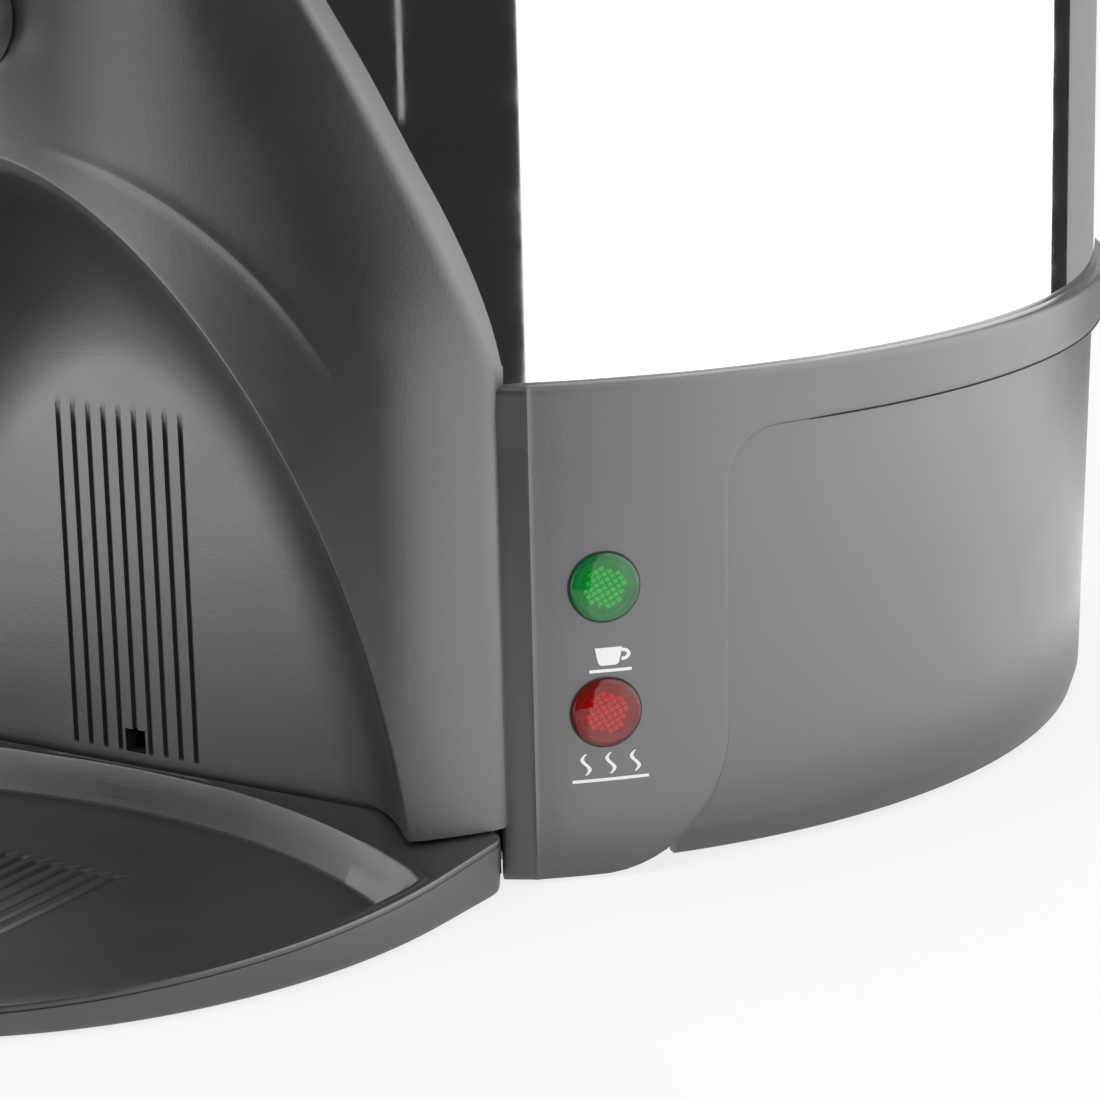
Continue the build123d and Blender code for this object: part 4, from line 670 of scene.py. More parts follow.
# Each finish: its colour, or the setting that holds it, with a share to darken or lighten it
FINISHES = {
    "satin_plastic": dict(colour="plastic", rough=(0.36, 0.42), bump=0.30, depth=0.00006,
        smudge=0.04, dust=0.06, extra={"Specular IOR Level": 1.0, "IOR": 1.6}),
    "phenolic": dict(colour="grips", rough=(0.20, 0.28), bump=0.12, depth=0.00005, scale=900.0,
        smudge=0.10, dust=0.15, extra={"Coat Weight": 0.25, "Coat Roughness": 0.12}),
    "polished_steel": dict(colour="steel", second=(0.86, 0.86, 0.87), rough=(0.03, 0.06), bump=0.05,
        depth=0.00002, group="brush", metal=1.0, smudge=0.02),
    "tank_steel": dict(colour=(0.58, 0.58, 0.57), second=(0.70, 0.70, 0.69), rough=(0.24, 0.34),
        bump=0.2, depth=0.00003, group="brush", metal=1.0, smudge=0.05),
    "chrome": dict(colour=(0.80, 0.81, 0.82), second=(0.86, 0.87, 0.88), rough=(0.05, 0.09),
        bump=0.03, depth=0.00003, scale=500.0, metal=1.0, smudge=0.08),
    "plated_steel": dict(colour=(0.52, 0.50, 0.46), second=(0.66, 0.66, 0.62), rough=(0.28, 0.42),
        bump=0.15, patch=260.0, metal=1.0),
    "rubber": dict(colour=(0.016, 0.016, 0.017), rough=(0.70, 0.82), bump=0.4, scale=1500.0,
        dust=0.3),
    "silicone": dict(colour=(0.72, 0.68, 0.62), second=(0.80, 0.77, 0.72), rough=(0.45, 0.55),
        bump=0.1, extra={"Subsurface Weight": 0.25, "Subsurface Scale": 0.002}),
    "gauge_glass": dict(colour=(0.96, 0.98, 0.97), second=(0.99, 1.0, 0.99), rough=(0.0, 0.02),
        bump=0.0, smudge=0.03, extra=GLASS),
    "green_lens": dict(colour="upper_lamp", rough=(0.03, 0.05), bump=0.0, smudge=0.0, extra=LENS),
    "green_optic": dict(colour="upper_lamp", share=1.1, rough=(0.10, 0.16), bump=0.1, smudge=0.0,
        extra={"Coat Weight": 0.6}),
    # the cores take the lamp's colour at 0.12 of its strength: painted shade for the recessed ring
    # round the optic
    "green_core": dict(colour="upper_lamp", share=0.12, rough=(0.3, 0.4), bump=0.1),
    "red_core": dict(colour="lower_lamp", share=0.12, rough=(0.3, 0.4), bump=0.1),
    "red_lens": dict(colour="lower_lamp", rough=(0.03, 0.05), bump=0.0, smudge=0.0, extra=LENS),
    "red_optic": dict(colour="lower_lamp", share=1.1, rough=(0.10, 0.16), bump=0.1, smudge=0.0,
        extra={"Coat Weight": 0.6}),
    "cast_aluminium": dict(colour=(0.50, 0.50, 0.49), second=(0.62, 0.62, 0.60), rough=(0.48, 0.62),
        bump=0.5, depth=0.0001, scale=1400.0, metal=1.0),
    "heater_sheath": dict(colour=(0.30, 0.26, 0.22), second=(0.42, 0.38, 0.34), rough=(0.40, 0.55),
        bump=0.2, patch=90.0, metal=1.0),
    "white_moulding": dict(colour=(0.66, 0.64, 0.58), second=(0.74, 0.72, 0.67), rough=(0.45, 0.55),
        bump=0.2),
    "switch_plastic": dict(colour=(0.020, 0.020, 0.021), rough=(0.22, 0.30), bump=0.08,
        scale=1500.0, smudge=0.08, dust=0.1),
    "lead_insulation": dict(colour=(0.55, 0.53, 0.48), second=(0.64, 0.62, 0.57),
        rough=(0.55, 0.65), bump=0.3, scale=1800.0),
    "brass": dict(colour=(0.66, 0.50, 0.22), second=(0.78, 0.62, 0.33), rough=(0.22, 0.34),
        bump=0.1, patch=200.0, metal=1.0),
    "label": dict(colour=(0.74, 0.74, 0.73), second=(0.80, 0.80, 0.79), rough=(0.40, 0.48),
        bump=0.05),
    "label_ink": dict(colour=(0.020, 0.020, 0.022), rough=(0.45, 0.55), bump=0.1),
    "white_print": dict(colour=(0.86, 0.87, 0.88), second=(0.91, 0.91, 0.91), rough=(0.45, 0.55),
        bump=0.25),
    "red_button": dict(colour=(0.42, 0.030, 0.022), rough=(0.35, 0.45), bump=0.1),
}


def painted(name):
    """The material of a finish, with its colour from the settings where it names one."""
    given = dict(FINISHES[name])
    colour, share = given.pop("colour"), given.pop("share", 1.0)
    if isinstance(colour, str):
        setting = getattr(bpy.context.scene.urn_colours, colour)
        colour = tuple(min(1.0, share * c) for c in setting)
    return finish(name, colour, **given)


# Frame nodes that are shown as they are, and their finishes
KEPT_NODES = {
    "rubber": ("feet", "shank_seal_outer", "shank_seal_inner", "gauge_seal_lower",
               "gauge_seal_upper", "knob_washer"),
    "plated_steel": ("base_plate", "base_screws", "tower_screws", "knob_screw", "handle_screws",
                     "inlet_screws", "bracket_screw", "shank_locknut", "lever_pin", "tap_spring",
                     "lamp_clips"),
    "tank_steel": ("pump_tube", "filter_basket", "basket_cover", "spacer_sleeve"),
    "chrome": ("valve_stem",),
    "silicone": ("seat_cup",),
    "cast_aluminium": ("heater_plate",),
    "heater_sheath": ("heater_ring", "keep_warm_element"),
    "white_moulding": ("thermostat", "terminal_block", "lamp_bodies"),
    "switch_plastic": ("switch_frame", "switch_rocker", "mains_inlet", "thermal_cutout"),
    "lead_insulation": ("internal_leads",),
    "brass": ("inlet_pins", "terminal_screws", "earth_stud"),
    "red_button": ("reset_button",),
}


# ------------------------------------------------------------------ settings


def size(name, description, value):
    return FloatProperty(name=name, description=description, default=value * MM, unit="LENGTH",
                         precision=5)


class UrnBaseSizes(bpy.types.PropertyGroup):
    seam: FloatProperty(name="Seam", description="Azimuth of the seam between wing and tower",
                        default=radians(37.1), subtype="ANGLE")
    crease: FloatProperty(name="Crease", description="Azimuth of the crease beside the seam",
                          default=radians(39.6), subtype="ANGLE")
    edge: FloatProperty(name="Wing edge", description="Azimuth of the wing's outer edge",
                        default=radians(54.8), subtype="ANGLE")
    corner: size("Foot corner", "Radius of the wing's lower corner", 22.0)
    blend: size("Blend", "Radius between the wing's edge and the collar", 9.0)
    wall: size("Wall", "Thickness of the moulding", 2.4)


class UrnTowerSizes(bpy.types.PropertyGroup):
    radius: size("Radius", "Radius of the tower's front", 127.2)
    arch_half: size("Arch half width", "Half width of the niche at its foot", 64.45)
    arch_height: size("Arch height", "Height of the niche's edge above the table", 116.15)
    niche_wall: size("Niche wall", "Distance of the niche's flat wall from the drum's axis", 96.5)
    groove_pitch: size("Groove pitch", "Distance between the grooves of the niche wall", 3.18)
    groove_depth: size("Groove depth", "Depth of the grooves of the niche wall", 0.8)
    ridge: size("Ridge", "Height of the curved ridge over the niche", 0.32)
    wall: size("Wall", "Thickness of the moulding", 2.6)


class UrnTraySizes(bpy.types.PropertyGroup):
    half_width: size("Half width", "Half width of the tray", 75.2)
    depth: size("Depth", "Depth of the tray's oval front", 81.9)
    rim: size("Rim", "Height of the rim at its back", 9.6)
    floor: size("Floor", "Height of the tray's floor", 2.0)
    groove_pitch: size("Groove pitch", "Distance between the grooves of the floor", 3.2)
    groove_count: IntProperty(name="Grooves", description="Number of grooves", default=13, min=1)


class UrnLampSizes(bpy.types.PropertyGroup):
    azimuth: FloatProperty(name="Azimuth", description="Azimuth of both lamps",
                           default=radians(45), subtype="ANGLE")
    upper: size("Upper lamp", "Height of the upper lamp", 48.1)
    lower: size("Lower lamp", "Height of the lower lamp", 27.7)
    radius: size("Radius", "Radius of a lens", 5.5)
    proud: size("Proud", "How far a lens stands off the wing", 1.8)
    prism: size("Prism pitch", "Distance between the pyramids of the lens", 0.95)


def colour(name, description, value):
    return FloatVectorProperty(name=name, description=description, default=value, subtype="COLOR",
                               size=3, min=0.0, max=1.0)


class UrnColours(bpy.types.PropertyGroup):
    plastic: colour("Plastic", "Satin plastic of base, tower and tray", (0.013, 0.013, 0.0135))
    grips: colour("Grips", "Handles, knob and lever", (0.014, 0.014, 0.015))
    steel: colour("Steel", "Drum and lid", (0.80, 0.80, 0.81))
    upper_lamp: colour("Upper lamp", "Lens of the upper lamp", (0.05, 0.80, 0.20))
    lower_lamp: colour("Lower lamp", "Lens of the lower lamp", (0.90, 0.035, 0.02))


class UrnStage(bpy.types.PropertyGroup):
    camera_place: FloatVectorProperty(name="Camera", description="Place of the camera",
                                      default=(0.354118, -0.522323, 0.189833),
                                      subtype="TRANSLATION", unit="LENGTH")
    heading: FloatProperty(name="Heading", description="Turn of the camera about the upright axis",
                           default=radians(30.36837), subtype="ANGLE")
    pitch: FloatProperty(name="Pitch", description="How far the camera looks down",
                         default=radians(13.62849), subtype="ANGLE")
    roll: FloatProperty(name="Roll", description="Turn of the camera about its line of sight",
                        default=radians(-0.864), subtype="ANGLE")
    reach: FloatProperty(name="Panel distance", description="Distance of the panels from the axis",
                         default=0.3, unit="LENGTH")
    height: FloatProperty(name="Panel height", description="Height of the panels", default=0.85,
                          unit="LENGTH")
    left_light: FloatProperty(name="Left panel", description="Strength of the left panel",
                              default=2.8, min=0.0)
    right_light: FloatProperty(name="Right panel", description="Strength of the right panel",
                               default=3.0, min=0.0)
    lamp: FloatProperty(name="Front lamp", description="Power of the soft lamp before the urn",
                        default=5.0, subtype="POWER")


# ------------------------------------------------------------------ drum and lid


class URN_OT_drum(bpy.types.Operator):
    """Build the polished jacket, the tank with its rolled rim, the lid and its knob"""
    bl_idname = "urn.drum"
    bl_label = "Drum and lid"

    def execute(self, context):
        grow("jacket_wall", drum_wall_tree(),
             {"Radius": DRUM_R * MM, "Low": DRUM_LOW * MM, "High": DRUM_TOP * MM},
             "polished_steel", "urn", ["drum_jacket"])
        low, high = (c.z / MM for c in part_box("inner_tank"))
        tank_r, rim_r = 113.5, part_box("inner_tank")[1].x / MM
        rim_low = DRUM_TOP + 0.2
        profile = rounded([(0, low), (tank_r, low), (tank_r, rim_low), (rim_r - 0.9, rim_low),
                           (rim_r - 0.9, rim_low - 2.4), (rim_r, rim_low - 2.4), (rim_r, high),
                           (tank_r - 0.8, high), (tank_r - 0.8, low + 0.8), (0, low + 0.8)],
                          {1: 6.0, 5: 0.35, 6: 0.8, 7: 0.5, 8: 5.2})
        make("tank_shell", [lathe(profile, 240)], "tank_steel", "urn", ["inner_tank"])
        make("lid_dome", [lathe(lid_profile(), 240)], "polished_steel", "lid",
             ["lid_shell"])
        make("knob_turning", [lathe(knob_profile(), 96)], "phenolic", "lid",
             ["lid_knob"])
        return {"FINISHED"}


def lid_profile():
    """Half section of the lid: flat middle, domed top, lip over the rim and a skirt inside it."""
    land, rim, rise, sheet = 20.0, 111.9, 21.0, 0.8
    top, base = LID_TOP, LID_TOP - rise
    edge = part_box("lid_shell")[1].x / MM
    big = ((rim - land) ** 2 + rise ** 2) / (2 * rise)

    def dome(thickness):
        line = []
        for i in range(25):
            r = land + (rim - land) * i / 24
            line.append((r, top - big + sqrt(big ** 2 - (r - land) ** 2) - thickness))
        return line
    outer = [(0, top)] + dome(0.0)
    lip = rounded([(rim - 0.4, base), (edge, base), (edge, base - 1.4), (edge - sheet, base - 1.4),
                   (edge - sheet, base - sheet), (rim, base - sheet), (rim, base - 7.0),
                   (rim - sheet, base - 7.0), (rim - sheet, base - 1.2)],
                  {1: 0.7, 2: 0.3, 6: 0.3}, closed=False)
    inner = [(r, z) for r, z in reversed(dome(sheet)) if r < rim - 2]
    return outer + lip + inner + [(0, top - sheet)]


def knob_profile():
    """Half section of the turned knob: foot, waist and head."""
    base = LID_TOP + 1.0
    height = KNOB_TOP - base
    points = [(0, base), (14.0, base), (14.0, base + 1.6), (10.6, base + 0.30 * height),
              (19.0, base + 0.60 * height), (19.0, base + 0.82 * height), (12.0, KNOB_TOP),
              (0, KNOB_TOP - 0.4)]
    return rounded(points, {1: 0.6, 2: 1.0, 3: 9.0, 4: 4.0, 5: 4.0, 6: 8.0}, closed=False)


# ------------------------------------------------------------------ base


DEGREE = 2.13              # millimetres along the wing's wall per degree of azimuth
WING_FOOT, STEP_Z, LIP_Z = 0.6, 71.0, 79.4
LIP_R, STEP_DROP = 122.5, 0.62         # radius at the lip; how far the step stands back behind
FLAT_DROP = 1.07           # how far the strip beside the seam falls back towards it
BEAD, BEAD_WIDTH = 0.14, 0.3           # the fine bead that runs down the crease
LEDGE_R = 120.15           # where the collar's top meets the drum


def wing_radius(z):
    """Radius of the wing's wall, which leans out a little towards its top."""
    return 121.0 + 1.15 * (z + 0.4) / 73.4


def collar_sheet(sizes):
    """Collar ring and front wing on one side, from the seam to the back."""
    seam, crease, edge = (degrees(getattr(sizes, k)) for k in ("seam", "crease", "edge"))
    corner, blend, wall = sizes.corner / MM, sizes.blend / MM, sizes.wall / MM
    corner_az = edge - corner / DEGREE
    blend_az = edge + blend / DEGREE
    corner_z, blend_z = WING_FOOT + corner, STEP_Z - blend

    def edge_at(z):
        if z < corner_z:
            return corner_az + sqrt(max(corner ** 2 - (corner_z - z) ** 2, 0)) / DEGREE
        if z > blend_z:
            return blend_az - sqrt(max(blend ** 2 - (z - blend_z) ** 2, 0)) / DEGREE
        return edge

    def edge_distance(az, z):
        if z > blend_z:
            if az >= blend_az:
                return z - STEP_Z
            return hypot((az - blend_az) * DEGREE, z - blend_z) - blend
        if z < corner_z:
            if az < corner_az:
                return z - WING_FOOT
            return corner - hypot((az - corner_az) * DEGREE, z - corner_z)
        return (edge - az) * DEGREE

    def radius(az, z):
        if z <= STEP_Z:
            r = wing_radius(z)
        else:
            share = (z - STEP_Z) / (LIP_Z - STEP_Z)
            foot = wing_radius(STEP_Z) - STEP_DROP * smooth((az - 57.0) / 8.0)
            r = foot + (LIP_R - foot) * min(share, 1)
        if az < crease:
            r -= FLAT_DROP * (crease - az) / (crease - seam)
        r += BEAD * exp(-((az - crease) * DEGREE / BEAD_WIDTH) ** 2)
        r -= rounding(edge_distance(az, z), 0.5)
        r -= rounding((az - seam) * DEGREE, 0.4)
        return r - (rounding(COLLAR_TOP - z, 1.0) if z > LIP_Z else 0.0)

    band = [0.0, 0.02, 0.05, 0.09, 0.5, 0.86, 0.94, 0.97]
    across = [0.0, 0.006, 0.012, 0.025] + [0.08 + 0.85 * i / 16 for i in range(17)] + [0.955]
    rows_z = [corner_z - corner * cos(radians(a)) for a in range(0, 90, 6)]
    rows_z += [corner_z + (blend_z - corner_z) * i / 12 for i in range(13)]
    rows_z += [blend_z + blend * sin(radians(a)) for a in range(9, 91, 9)]
    rows_z += [71.08, 71.2, 71.35, 71.55, 72.5, 74.0, 76.0, 78.0, 79.0, LIP_Z, 79.6, 79.8, 79.98,
               80.14, 80.27, 80.35, COLLAR_TOP]
    rest = [blend_az + (180 - blend_az) * i / 90 for i in range(1, 91)]
    sheet = Sheet()

    def at(az, z, r=None):
        r = radius(az, z) if r is None else r
        x, y = polar(r, az)
        low = polar(r - wall, az) if z <= 73 else polar(119.5, az)
        return sheet.point((x, y, z), (low[0], low[1], min(z, 80.0)))

    rows = []
    for z in rows_z:
        far = edge_at(min(z, STEP_Z))
        azimuths = [seam + (crease - seam) * t for t in band]
        azimuths += [crease + (far - crease) * t for t in across]
        azimuths += [far - d / DEGREE for d in (0.45, 0.25, 0.1, 0.0)]
        if z >= STEP_Z:
            azimuths += rest
        rows.append([at(az, z) for az in azimuths])
    ledge = [at(az, COLLAR_TOP, LEDGE_R) for az in azimuths]
    for upper, lower in zip(rows, rows[1:]):
        count = min(len(upper), len(lower))
        sheet.grid([upper[:count], lower[:count]])
    sheet.grid([rows[-1], ledge])
    return sheet


class URN_OT_base(bpy.types.Operator):
    """Build the collar with its two front wings and the rear wall of the base"""
    bl_idname = "urn.base"
    bl_label = "Base"

    def execute(self, context):
        sheet = collar_sheet(context.scene.urn_base)
        make("collar_and_wings", [sheet.mirrored().solid()], "satin_plastic", "urn",
             ["base_collar"])
        profile = rounded([(119.7, STEP_Z), (118.0, 5.0), (116.7, 1.0), (114.3, 1.0), (114.3, 3.0),
                           (104.0, 3.0), (104.0, 5.2), (115.6, 5.2), (117.3, STEP_Z)],
                          {1: 3.5, 2: 0.8})
        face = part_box("mains_inlet")[0].x / MM
        inlet_z = (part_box("mains_inlet")[0].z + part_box("mains_inlet")[1].z) / 2 / MM
        pad = slab(-2 * face + 4, 27.0, 3.0, [(0, 111.0), (0, 119.4), (0.25, 119.95), (0.8, 120.2)])
        parts = [lathe(profile, 258, span=(51.0, 309.0)), placed(pad, outward(180, 0, inlet_z))]
        make("rear_wall", parts, "satin_plastic", "urn", ["rear_shell"])
        return {"FINISHED"}


# ------------------------------------------------------------------ tower


EDGE_KNOTS = ((0, 73.68), (76, 73.68), (82, 74.05), (88.1, 73.2), (95.6, 71.4), (105.6, 68.1),
              (115, 64.2), (129.7, 57.9), (140.8, 52.5), (156, 46.2), (168, 41.4), (180, 37.3),
              (192, 34.3), (205, 33.0), (338, 33.0))
SHOULDER_Z, SHOULDER_R = 314.0, 24.0   # rounded top corners
SPLIT_Z, FOOT_Z = 150.0, 10.0          # rays fan out between these heights, rows run above
PATCH_X, PATCH_Z = 14.3, 71.5          # half width and top of the grooved wall
HOLE_X, HOLE_LOW, HOLE_TOP = 2.1, 11.0, 15.0
GROOVE_END, GROOVE_SIDES = 11.4, (0.35, 0.55)
BOWL_START, BOWL_BAND, BOWL_BAND_DEPTH = 0.66, 0.075, 0.09   # dish: shares of the arch
ARCH_POWER, ARCH_STEPS = 1.855, 240
RIDGE, RIDGE_WIDTH = (1.52, 58.47, 60.33), 0.9               # middle, radius, width
SEAT_R = 120.25            # where the tower's side walls meet the drum


class TowerForm:
    """The tower's front as a depth field: how far the surface stands in front of the axis."""

    def __init__(self, sizes):
        self.radius = sizes.radius / MM
        self.half, self.height = sizes.arch_half / MM, sizes.arch_height / MM
        self.back = sizes.niche_wall / MM
        self.ridge = sizes.ridge / MM
        self.wall = sizes.wall / MM
        self.pitch, self.groove = sizes.groove_pitch / MM, sizes.groove_depth / MM
        self.edge = curve_through(EDGE_KNOTS)

    def half_width(self, z):
        if z > SHOULDER_Z:
            inner = self.edge(z) - SHOULDER_R
            return inner + sqrt(max(SHOULDER_R ** 2 - (z - SHOULDER_Z) ** 2, 0))
        return self.edge(z)

    def edge_distance(self, x, z):
        """How far a point lies inside the tower's outline."""
        if z <= SHOULDER_Z:
            return self.half_width(z) - x
        inner = self.edge(z) - SHOULDER_R
        if x <= inner:
            return TOWER_TOP - z
        return SHOULDER_R - hypot(x - inner, z - SHOULDER_Z)

    def arch(self, x, z):
        """1 on the niche's edge, less inside it."""
        total = (x / self.half) ** ARCH_POWER + (z / self.height) ** ARCH_POWER
        return total ** (1 / ARCH_POWER)

    def skin(self, x, z):
        """The front's surface: round, rolled back at its side, with a curved ridge."""
        gap = self.half_width(z) - x
        # above the collar the rolled strip grows wider, and it rolls back less far
        flare = 12.0 + 5.0 * smooth((z - 78) / 30)
        q = min(max(1 - gap / flare, 0), 1)
        drop = 5.05 - 2.45 * smooth((z - 79) / 21)
        r = self.radius - drop * q ** 1.6
        front = sqrt(r ** 2 - x ** 2)
        cx, cz, cr = RIDGE
        off = hypot(x - cx, z - cz) - cr
        if abs(off) < 30:
            angle = degrees(atan2(z - cz, x - cx))
            fade = smooth((angle - 20) / 16) * smooth((82 - angle) / 20)
            bump = exp(-(off / RIDGE_WIDTH) ** 2)
            front += self.ridge * fade * bump * smooth(gap / 8)
        return front - rounding(self.edge_distance(x, z), 1.0)

    def depth(self, x, z):
        """The skin outside the arch, the flat wall inside it and a dish between them."""
        front = self.skin(x, z)
        rho = self.arch(x, z)
        if rho > 1.1:
            return front
        if rho <= BOWL_START:
            return self.back
        lip = self.skin(x / rho, z / rho) - self.back
        t = (rho - BOWL_START) / (1 - BOWL_START)
        turn = 1 - BOWL_BAND
        if t < turn:
            share = (t / turn) ** 2 * (1 - BOWL_BAND_DEPTH)
        else:
            share = 1 - BOWL_BAND_DEPTH + BOWL_BAND_DEPTH * (t - turn) / BOWL_BAND
        bowl = self.back + lip * share
        soft = 0.2
        near = max(soft - abs(front - bowl), 0) / soft
        return min(front, bowl) - near * near * soft / 4


def ray_reader(line, centre):
    """Distance from a centre to a line around it, by angle in degrees."""
    marks = sorted((degrees(atan2(z - centre[1], x - centre[0])), x, z) for x, z in line)

    def read(angle):
        if angle <= marks[0][0]:
            i = 0
        else:
            i = max(k for k in range(len(marks) - 1) if marks[k][0] <= angle)
        (_, x0, z0), (_, x1, z1) = marks[i], marks[min(i + 1, len(marks) - 1)]
        u, v = cos(radians(angle)), sin(radians(angle))
        px, pz, dx, dz = x0 - centre[0], z0 - centre[1], x1 - x0, z1 - z0
        cross = u * dz - v * dx
        if abs(cross) < 1e-9:
            return hypot(px, pz)
        return (px * dz - pz * dx) / cross
    return read


def tower_sheet(form):
    """Right half of the tower: grooved wall, dish, skin and the walls back to the drum."""
    centre = (0.0, FOOT_Z)
    power = 2 / ARCH_POWER
    arch_line = []
    for i in range(ARCH_STEPS + 1):
        t = radians(90 * i / ARCH_STEPS)
        arch_line.append((form.half * cos(t) ** power if i < ARCH_STEPS else 0.0,
                          form.height * sin(t) ** power))
    arch_line = [p for p in arch_line if p[1] > FOOT_Z - 2]
    z_line = [FOOT_Z + (SPLIT_Z - FOOT_Z) * i / 140 for i in range(141)]
    outline = [(form.half_width(z), z) for z in z_line]
    side_x = outline[-1][0]
    outline += [(side_x * (1 - i / 60), SPLIT_Z) for i in range(1, 61)]
    arch_at, out_at = ray_reader(arch_line, centre), ray_reader(outline, centre)
    corner_angle = degrees(atan2(SPLIT_Z - FOOT_Z, side_x))
    patch_corner = degrees(atan2(PATCH_Z - FOOT_Z, PATCH_X))
    fixed = {0.0, 90.0, corner_angle, patch_corner}
    angles = set(fixed)
    steps = [arch_line[i] for i in range(0, len(arch_line), 3)]
    angles |= {degrees(atan2(z - FOOT_Z, x)) for x, z in steps if z > FOOT_Z + 0.8}
    for offset in (0.12, 0.3, 0.6, 1.0, 1.6, 2.6, 4.0, 6.0):
        angles.add(degrees(atan2(SPLIT_Z - FOOT_Z, side_x - offset)))
    half_count = 4
    bottom, brim = GROOVE_SIDES
    columns = [bottom, brim, HOLE_X]
    for k in range(1, half_count + 1):
        columns += [k * form.pitch + d for d in (-brim, -bottom, bottom, brim)]
    angles |= {degrees(atan2(PATCH_Z - FOOT_Z, x)) for x in columns}
    levels = [HOLE_LOW, GROOVE_END, 12.6, HOLE_TOP, 15.6, 66.0, 67.0, 68.0, 69.0, 70.0, 70.8]
    angles |= {degrees(atan2(z - FOOT_Z, PATCH_X)) for z in levels}
    angles = sorted(angles)
    kept = [angles[0]]
    for a in angles[1:]:
        if a - kept[-1] > 0.02 or a in fixed:
            kept.append(a)
    angles = kept
    xs = [0.0] + sorted((PATCH_Z - FOOT_Z) / tan(radians(a)) for a in angles
                        if patch_corner < a < 89.999) + [PATCH_X]
    zs = [FOOT_Z + PATCH_X * tan(radians(a)) for a in angles if a < patch_corner - 1e-9] + [PATCH_Z]

    sheet = Sheet()

    def inner(x, z):
        pull = smooth(1 - (form.half_width(z) - x) / 15)
        down = smooth(1 - (TOWER_TOP - z) / 15)
        ix, iz = x - form.wall * pull, z - form.wall * down
        return ix, -(form.depth(max(ix, 0), iz) - form.wall), iz

    def at(x, z, sink=0.0):
        return sheet.point((x, -(form.depth(x, z) - sink), z), inner(x, z))

    def sunk(x, z):
        nearest = round(x / form.pitch)
        low = HOLE_TOP if nearest == 0 else GROOVE_END
        aside = abs(x - nearest * form.pitch)
        if nearest > half_count or aside > bottom + 0.01 or z < low - 1e-6:
            return 0.0
        return form.groove * (1 - smooth((z - 65.5) / 5.5))

    patch = [[at(x, z, sunk(x, z)) for x in xs] for z in zs]

    def in_hole(face):
        x = sum(sheet.outer[v][0] for v in face) / len(face)
        z = sum(sheet.outer[v][2] for v in face) / len(face)
        return x < HOLE_X and HOLE_LOW < z < HOLE_TOP
    sheet.grid(patch, skip=in_hole)

    cx, cz, cr = RIDGE
    rays = []
    for a in angles:
        u, v = cos(radians(a)), sin(radians(a))
        start = PATCH_X / u if a < patch_corner else (PATCH_Z - FOOT_Z) / v
        s_arch, s_out = arch_at(a), out_at(a)
        ox, oz = -cx, FOOT_Z - cz
        along = u * ox + v * oz
        s_ridge = -along + sqrt(along ** 2 - (ox ** 2 + oz ** 2 - cr ** 2))
        s_mid = min(max(s_ridge, s_arch + 2.0), s_out - 3.0)
        line = [start + (s_arch - start) * (1 - (1 - i / 32) ** 1.7) for i in range(33)]
        line += spaced(s_arch, s_mid, 14)[1:] + spaced(s_mid, s_out, 24)[1:]
        row = []
        for i, s in enumerate(line):
            x, z = (s * u, FOOT_Z + s * v)
            if i == 0:
                x, z = min(x, PATCH_X), min(z, PATCH_Z)
            row.append(at(max(x, 0.0) if a < 90 else 0.0, z))
        rays.append(row)
    sheet.grid(rays)

    top_rays = [a for a in angles if a >= corner_angle - 1e-9]
    base_half = form.half_width(SPLIT_Z)
    shares = [(SPLIT_Z - FOOT_Z) / tan(radians(a)) / base_half if a < 89.999 else 0.0
              for a in top_rays]
    upper_z = [SPLIT_Z + 6 * i for i in range(28)]
    upper_z = [z for z in upper_z if z < SHOULDER_Z]
    upper_z += [SHOULDER_Z + SHOULDER_R * sin(radians(a)) for a in range(0, 85, 5)]
    upper_z += [TOWER_TOP - d for d in (0.06, 0.03, 0.0)]
    upper_z = sorted(set(upper_z) | {TOWER_TOP - d for d in (1.0, 0.75, 0.5, 0.3, 0.15)})
    block = []
    for z in upper_z:
        half = form.half_width(z)
        block.append([rays[angles.index(a)][-1] if z == SPLIT_Z else at(half * s, z)
                      for a, s in zip(top_rays, shares)])
    sheet.grid(block)

    side = [row[-1] for a, row in zip(angles, rays) if a <= corner_angle + 1e-9]
    side += [row[0] for row in block[1:]] + block[-1][1:]
    back = []
    for v in side:
        x, y, z = sheet.outer[v]
        ix, _, iz = sheet.inner[v]
        depth = sqrt(SEAT_R ** 2 - x ** 2) if z > 80.5 else -y - 10.0
        back.append(sheet.point((x, -depth, z), (ix, -depth, iz)))
    sheet.grid([side, back])
    return sheet


class URN_OT_tower(bpy.types.Operator):
    """Build the front tower with its cup niche and the fluted niche wall"""
    bl_idname = "urn.tower"
    bl_label = "Tower"

    def execute(self, context):
        form = TowerForm(context.scene.urn_tower)
        parts = [tower_sheet(form).mirrored().solid()]
        front, rear = -form.back + 0.04, -form.back + 2.4
        parts.append(box_part((-40.8, 40.8), (front, rear), (7.0, 10.3), 0.15))
        parts.append(box_part((-40.8, 40.8), (front, rear), (1.0, 3.2), 0.15))
        for side in (-1, 1):
            x0, x1 = sorted((side * 40.6, side * 71.0))
            parts.append(box_part((x0, x1), (front + 0.02, rear), (1.0, 10.3), 0.15))
            plan = [(side * x, -(form.depth(x, FOOT_Z) - 0.3)) for x in
                    [41.0 + 32.0 * i / 40 for i in range(41)]]
            plan += [(side * 73.0, -90.0), (side * 41.0, -94.2)]
            parts.append(loft([[(x, y, z) for x, y in plan] for z in (10.06, 12.4)]))
        make("front_tower", parts, "satin_plastic", "urn", ["tower_shell"])
        return {"FINISHED"}


# ------------------------------------------------------------------ drip tray


